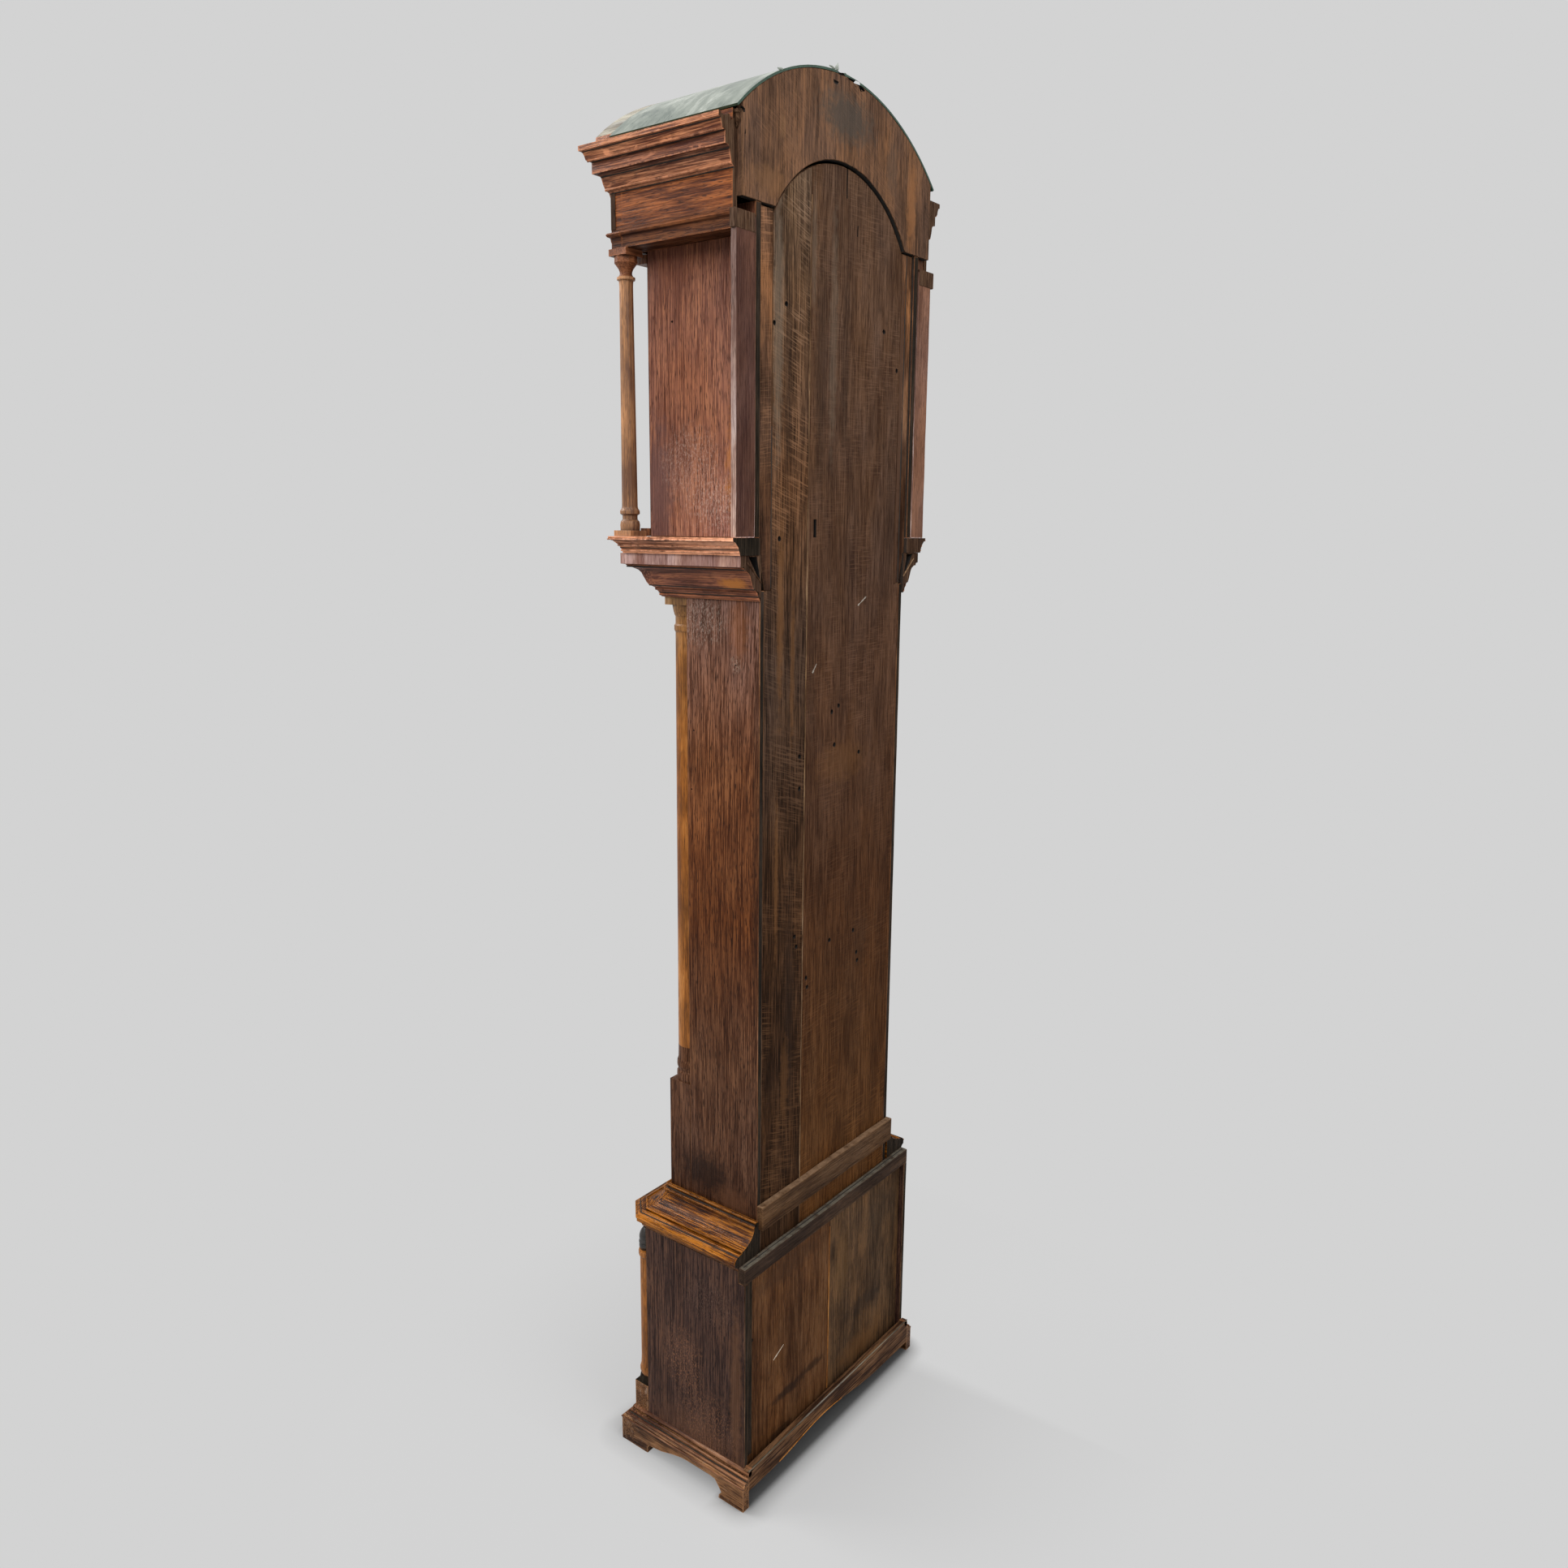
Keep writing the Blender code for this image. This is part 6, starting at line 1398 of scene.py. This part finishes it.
def sliver(name, x, y, low, high, radius, finish, node, seed):
    """A thin ragged strip of wood that stands in a seam."""
    chance = random.Random(seed)
    count = int((high - low) / 0.03)
    path = []
    for number in range(count + 1):
        path.append((x + chance.uniform(-0.0003, 0.0003), y, low + (high - low) * number / count))
    mesh = rod(path, radius, 0.6, (0.0, 1.0, 0.0), 6, 0.45, seed)
    settle(name, mesh, [finish], BODY_OF[node])


sliver("trunk_seam_sliver", BOARD_SEAM, TRUNK_BACK, 0.475, 1.995, 0.0011, trunk_sliver, "backboard_right", 4)
BASE_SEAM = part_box("base_back_right")[0][0]
sliver("base_seam_sliver", BASE_SEAM, BASE_BACK, 0.056, 0.372, 0.0013, base_sliver, "base_back_right", 6)

BLOCK_EDGE = [(0.22, 1.495), (0.204, 1.4808), (0.1885, 1.4665)]
for word, side in (("right", 1.0), ("left", -1.0)):
    edge = [(side * x, throat_rear, z) for x, z in BLOCK_EDGE]
    mesh = rod(edge, 0.0012, sides=6, ragged=0.3)
    settle("throat_block_edge_" + word, mesh, [edge_raw if side > 0.0 else trunk_sliver], BODY_OF["throat_moulding"])
sliver("far_wing_seam", -0.1757, TRUNK_BACK, 1.458, 1.957, 0.0011, groove_dark, "back_wing_left", 8)
sliver("near_wing_seam", 0.1635, TRUNK_BACK, 1.458, 1.68, 0.0009, groove_dark, "back_wing_right", 9)

CHALK_DASHES = [((-0.083, 1.437), (-0.06, 1.424)), ((0.049, 1.341), (0.059, 1.328))]
for number, (first, last) in enumerate(CHALK_DASHES):
    path = []
    for step in range(9):
        share = step / 8.0
        path.append((first[0] + (last[0] - first[0]) * share, TRUNK_BACK + 0.0001, first[1] + (last[1] - first[1]) * share))
    mesh = rod(path, 0.0012, 0.25, (0.0, 1.0, 0.0), 6, 0.6, 3 + number)
    settle("chalk_dash_%d" % number, mesh, [chalk], BODY_OF["backboard_left"])

# Hood


def looks_down(centre, normal):
    """True for the underside of the yoke's arch and feet."""
    return normal.z < -0.25 and abs(normal.y) < 0.5


YOKE_BREAK = [
    ((-0.012, 0.114, 2.161), (0.06, 0.016, 0.01)),
    ((0.016, 0.116, 2.1625), (0.022, 0.012, 0.008)),
    ((-0.036, 0.116, 2.156), (0.02, 0.012, 0.01)),
    ((0.029, 0.118, 2.149), (0.018, 0.006, 0.008)),
    ((0.229, 0.118, 2.0385), (0.006, 0.012, 0.01)),
    ((0.233, 0.118, 2.062), (0.01, 0.012, 0.01)),
]
CORNICE_BREAK = [
    ((0.264, 0.11, 2.052), (0.022, 0.016, 0.007)),
    ((0.247, 0.111, 2.0515), (0.022, 0.012, 0.011)),
]
broken = shards(YOKE_BREAK, 5, 2)
# The yoke's arch underside and feet are painted dark: the shadow of the gap under the arch.
zones = [(looks_down, groove_dark)]
dressed("hood_yoke", yoke_oak, edge_raw, 0.001, step=0.02, axis=0, amount=0.0006, cutter=broken, zones=zones)
for word, side in (("right", 1.0), ("left", -1.0)):
    low, high = sorted((side * 0.2075, side * 0.2508))
    stile_cap = brick((low, 0.1094, 1.92), (high, 0.1188, 1.944))
    settle("hood_stile_cap_" + word, stile_cap, [end_raw], BODY_OF["hood_stile_" + word])
gap_block = brick((-0.233, 0.1, 1.944), (-0.207, 0.109, 1.961))
settle("hood_gap_block", gap_block, [edge_pale], BODY_OF["hood_yoke"])


def dust_and_sheen_top(centre, normal):
    """True for the top of the arch in front of the roof."""
    return normal.z > 0.5 and centre.y < -0.09 and centre.z > 2.055


def roof_rim(centre, normal):
    return normal.z < 0.45


# The arch top in front of the roof is grey: dust and a painted sheen.
zones = [(looks_back, end_raw), (dust_and_sheen_top, roof_dust_and_sheen)]
dressed("hood_cornice", cornice_oak, None, 0.0, smooth=20.0, cutter=shards(CORNICE_BREAK, 7, 2), zones=zones)
dressed("hood_front", front_oak, None, 0.0, smooth=22.0, zones=[(looks_aside, frieze_oak), (dust_and_sheen_top, roof_dust_and_sheen)])
dressed("hood_roof", roof_paint, None, 0.0, cutter=shards(YOKE_BREAK[:3], 9, 2), zones=[(roof_rim, roof_edge)])
dressed("dial_mask", inside_oak, edge_raw, 0.0008)

# The first four are dark lines between the cornice's members, dirt and painted shade; the last two are beads.
CORNICE_LINES = [
    (0.2609, -0.1285, 2.0328, 0.0009, groove_dark),
    (0.2701, -0.1377, 2.045, 0.0009, groove_dark),
    (0.2521, -0.1197, 2.014, 0.001, groove_dark),
    (0.2433, -0.1109, 1.9932, 0.0009, groove_dark),
    (0.2648, -0.1324, 2.0342, 0.002, cornice_oak),
    (0.2478, -0.1154, 1.9976, 0.002, cornice_oak),
]
for number, (x, front, z, radius, finish) in enumerate(CORNICE_LINES):
    for word, side in (("right", 1.0), ("left", -1.0)):
        ends = [(side * x, front + (0.111 - front) * step / 12.0, z) for step in range(13)]
        mesh = rod(ends, radius, ragged=0.25, seed=number)
        name = "cornice_line_%s_%d" % (word, number)
        settle(name, mesh, [finish], BODY_OF["hood_cornice"], smooth=50.0)

FRIEZE_HALF = 0.243
FRIEZE_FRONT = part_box("hood_front")[0][1] + 0.0062
for word, side in (("right", 1.0), ("left", -1.0)):
    corner = [side * (FRIEZE_HALF - 0.0006), side * (FRIEZE_HALF + 0.0009)]
    strip = brick((min(corner), FRIEZE_FRONT, 1.946), (max(corner), FRIEZE_FRONT + 0.0085, 1.9925))
    settle("frieze_end_strip_" + word, strip, [end_raw], BODY_OF["hood_front"])

ROOF_FLAKES = [
    ((0.024, 0.116, 2.169), (0.01, 0.005, 0.012)),
    ((0.036, 0.116, 2.166), (0.02, 0.006, 0.004)),
    ((0.153, 0.116, 2.131), (0.014, 0.006, 0.004)),
    ((0.006, 0.115, 2.1655), (0.014, 0.006, 0.003)),
]
SPLINTERS = [
    ((0.005, 0.116, 2.16), (0.016, 0.005, 0.006)),
    ((-0.02, 0.116, 2.157), (0.016, 0.005, 0.006)),
    ((-0.038, 0.116, 2.1535), (0.008, 0.005, 0.006)),
    ((0.2595, 0.109, 2.049), (0.014, 0.006, 0.004)),
]
FIBRES = [
    ((0.2375, 0.112, 2.05), (0.01, 0.008, 0.022)),
    ((0.234, 0.114, 2.059), (0.012, 0.007, 0.01)),
    ((0.2395, 0.113, 2.059), (0.007, 0.006, 0.008)),
]
CRUMBS = [
    ((-0.237, 0.113, 2.066), (0.006, 0.006, 0.011)),
    ((-0.239, 0.112, 2.056), (0.005, 0.005, 0.006)),
    ((-0.2385, 0.113, 2.049), (0.006, 0.005, 0.007)),
]
for name, places, finish, seed in (
    ("roof_flakes", ROOF_FLAKES, roof_paint, 3),
    ("hood_splinters", SPLINTERS, break_pale, 5),
    ("hood_fibres", FIBRES, end_raw, 6),
    ("hood_crumbs", CRUMBS, moss, 8),
):
    settle(name, shards(places, seed), [finish], BODY_OF["hood_yoke"], smooth=15.0)

# Doors
dressed("trunk_door", door_oak, edge_pale, 0.003)
dressed("hood_door", door_oak, edge_pale, 0.0012)
dressed("hood_glass", pane_glass, None, 0.0)

# Keyholes and screws on the doors
KEY_PLATE = (0.0085, 0.016)


def keyhole(name, x, z, node):
    """An oval brass plate with a keyhole, on the front of a door."""
    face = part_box(node)[0][1]
    oval = [(x + KEY_PLATE[0] * (px - x), z + KEY_PLATE[1] * (pz - z)) for px, pz in round_outline(x, z, 1.0)]
    plate = prism(oval, face - 0.0012, face + 0.0005, 0)
    settle(name + "_escutcheon", plate, [brass], BODY_OF[node])
    # The keyhole is a flat black piece on the plate that stands for the hole: painted shade.
    slot = [(x - 0.001, z), (x + 0.001, z), (x + 0.0017, z - 0.0085), (x - 0.0017, z - 0.0085)]
    hole = merged(prism(round_outline(x, z + 0.001, 0.0026, 16), face - 0.00135, face, 0), prism(slot, face - 0.0013, face, 0))
    settle(name + "_keyhole", hole, [wax_and_shade], BODY_OF[node])


keyhole("trunk", -0.098, 1.05, "trunk_door")
keyhole("hood", -0.1825, 1.76, "hood_door")
for word in ("upper", "lower"):
    (left, front, low), (right, rear, high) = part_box("trunk_hinge_" + word)
    spots = [(right - 0.007, low + share * (high - low)) for share in (0.2, 0.5, 0.8)]
    mesh = merged(*[leaf(x, -0.0693, z - 0.0024, 0.0, 0.0048, 0.0058, 0.001) for x, z in spots])
    node = "trunk_hinge_" + word
    settle(node + "_screws", mesh, [steel], BODY_OF[node])

# Dial furniture, in the order it lies on the plate. Angles run clockwise from twelve.
DIAL_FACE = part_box("dial")[0][1]
RING_FACE = DIAL_FACE - 0.001
INK_FACE = RING_FACE - 0.0002
INK_BACK = RING_FACE + 0.0002
NUMERALS = ("XII", "I", "II", "III", "IIII", "V", "VI", "VII", "VIII", "IX", "X", "XI")
NUMERAL_FOOT, NUMERAL_HIGH = 0.108, 0.019
BOLD, FINE, SERIF = 0.17, 0.07, 0.05
GLYPHS = {
    "I": (0.3, [(0.15, 0.15, BOLD)]),
    "V": (0.66, [(0.33, 0.12, BOLD), (0.33, 0.56, FINE)]),
    "X": (0.72, [(0.58, 0.14, BOLD), (0.14, 0.58, FINE)]),
}


def dial_point(across, radius, turn):
    """A point of the dial, across from the spoke at an angle and out along it."""
    x = across * math.cos(turn) + radius * math.sin(turn)
    return (x, DIAL_MIDDLE - across * math.sin(turn) + radius * math.cos(turn))


def inked(corners, turn):
    """A flat mark on the chapter ring. corners are (across, radius) pairs."""
    return prism([dial_point(across, radius, turn) for across, radius in corners], INK_FACE, INK_BACK, 0)


def numeral(word, turn):
    """A Roman numeral with its feet to the middle: strokes from foot to head, and a serif line at each end."""
    wide = sum(GLYPHS[letter][0] for letter in word)
    pen = -0.5 * wide
    marks = []
    for letter in word:
        for foot, head, weight in GLYPHS[letter][1]:
            corners = [(foot - weight / 2, 0.0), (foot + weight / 2, 0.0), (head + weight / 2, 1.0), (head - weight / 2, 1.0)]
            marks.append([(pen + across, up) for across, up in corners])
        pen += GLYPHS[letter][0]
    for low in (0.0, 1.0 - SERIF):
        marks.append([(-0.5 * wide, low), (0.5 * wide, low), (0.5 * wide, low + SERIF), (-0.5 * wide, low + SERIF)])
    made = []
    for corners in marks:
        sized = [(across * NUMERAL_HIGH, NUMERAL_FOOT + up * NUMERAL_HIGH) for across, up in corners]
        made.append(inked(sized, turn))
    return merged(*made)


def tick(low, high, wide, turn):
    return inked([(-wide / 2, low), (wide / 2, low), (wide / 2, high), (-wide / 2, high)], turn)


def dial_piece(name, finish, *meshes):
    settle(name, merged(*meshes), [finish], BODY_OF["dial"], smooth=40.0)


dressed("dial", dial_brass, None, 0.0)
dial_piece("dial_chapter_ring", silvered, ring(0.0, DIAL_MIDDLE, MATTED_FIELD, 0.1405, RING_FACE, DIAL_FACE + 0.0005))
hours = [2.0 * math.pi * number / 12.0 for number in range(12)]
dial_piece("dial_numerals", wax_and_shade, *[numeral(word, turn) for word, turn in zip(NUMERALS, hours)])
tracks = [ring(0.0, DIAL_MIDDLE, radius, radius + 0.0005, INK_FACE, INK_BACK) for radius in (0.1045, 0.1066, 0.13, 0.135)]
minutes = [tick(0.1302, 0.1352, 0.0016 if number % 5 == 0 else 0.0006, math.pi * number / 30.0) for number in range(60)]
quarters = [tick(0.1047, 0.1068, 0.0005, math.pi * number / 24.0) for number in range(48)]
halves = []
for turn in hours:
    lozenge = [(0.0, 0.113), (0.0024, 0.118), (0.0, 0.123), (-0.0024, 0.118)]
    halves.append(inked(lozenge, turn + math.pi / 12.0))
dial_piece("dial_tracks", wax_and_shade, *tracks, *minutes, *quarters, *halves)

SCROLL_EYE = (0.1352, 0.093)
SCROLL_TAIL = [(0.13, 0.113), (0.118, 0.118)]
scroll = []
for step in range(19):
    turn = 0.45 * step
    wide = 0.0012 + 0.0068 * step / 18.0
    scroll.append((SCROLL_EYE[0] - wide * math.cos(turn), SCROLL_EYE[1] + wide * math.sin(turn)))
scroll += SCROLL_TAIL
castings = []
for side in (1.0, -1.0):
    for rise in (1.0, -1.0):
        for across, up in ((0, 1), (1, 0)):
            track = [(side * point[across], DIAL_FACE - 0.0006, DIAL_MIDDLE + rise * point[up]) for point in scroll]
            castings.append(rod(track, 0.0015, up=(0.0, 1.0, 0.0), sides=8))
        outward = math.atan2(side, rise)
        for spread in (-66.0, -33.0, 0.0, 33.0, 66.0):
            turn = outward + math.radians(spread)
            long = 0.03 - 0.00014 * abs(spread)
            castings.append(leaf(side * 0.112, DIAL_FACE, DIAL_MIDDLE + rise * 0.112, turn, long, 0.012, 0.0022))
        castings.append(leaf(side * 0.115, DIAL_FACE, DIAL_MIDDLE + rise * 0.115, outward + math.pi, 0.012, 0.008, 0.0024))
    for spread in (-60.0, -25.0, 10.0, 45.0):
        turn = side * math.radians(62.0 + spread)
        castings.append(leaf(side * 0.068, DIAL_FACE, 1.902, turn, 0.026, 0.011, 0.0022))
dial_piece("dial_castings", cast_brass, *castings)

BOSS_Z, BOSS_R = 1.932, 0.044
boss = prism(round_outline(0.0, BOSS_Z, BOSS_R, 64), RING_FACE, DIAL_FACE + 0.0005, 0)
dial_piece("dial_boss", silvered, boss)
dial_piece("dial_boss_rim", cast_brass, ring(0.0, BOSS_Z, BOSS_R - 0.0005, BOSS_R + 0.0035, DIAL_FACE - 0.002, DIAL_FACE + 0.0005, 64))
boss_lines = [ring(0.0, BOSS_Z, radius, radius + 0.0006, INK_FACE, INK_BACK, 64) for radius in (0.028, 0.03, 0.039)]
dial_piece("dial_boss_lines", wax_and_shade, *boss_lines)
petals = [leaf(0.0, RING_FACE, BOSS_Z, math.pi * number / 6.0, 0.024, 0.0078, 0.0014) for number in range(12)]
dial_piece("dial_rosette", cast_brass, *petals)
winding = [(side * WINDING_X, WINDING_Z) for side in (1.0, -1.0)]
collets = [ring(x, z, 0.0058, 0.0085, DIAL_FACE - 0.0012, DIAL_FACE + 0.0005, 32) for x, z in winding]
dial_piece("dial_collets", cast_brass, *collets, ring(0.0, DIAL_MIDDLE, 0.018, 0.0192, DIAL_FACE - 0.0006, DIAL_FACE + 0.0005))

# Movement, weights and pendulum
for node in ("front_plate", "back_plate", "centre_wheel", "great_wheel", "third_wheel", "escape_wheel"):
    dressed(node, brass, None, 0.0)
dressed("bell", bell_metal, None, 0.0)
for node in ("going_barrel", "strike_barrel", "trunk_hinge_upper", "trunk_hinge_lower"):
    dressed(node, brass, None, 0.0003)
BOB_TOP = 0.88
PULLEY_FOOT = 1.165
dressed("pendulum", steel, None, 0.0003, zones=[(lambda centre, normal: centre.z < BOB_TOP, brass)])
for node in ("going_weight", "strike_weight"):
    dressed(node, lead, None, 0.0008, zones=[(lambda centre, normal: centre.z > PULLEY_FOOT, brass)])
for node in ("anchor", "hammer"):
    dressed(node, steel, None, 0.0)
for node in ("minute_hand", "hour_hand"):
    dressed(node, blued, None, 0.0002)
for word in ("going", "strike"):
    line = dressed(word + "_line", gut, None, 0.0, rides=False)
    (left, front, low), (right, rear, high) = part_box(word + "_line")
    x, y = 0.5 * (left + right), 0.5 * (front + rear)
    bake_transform(line)
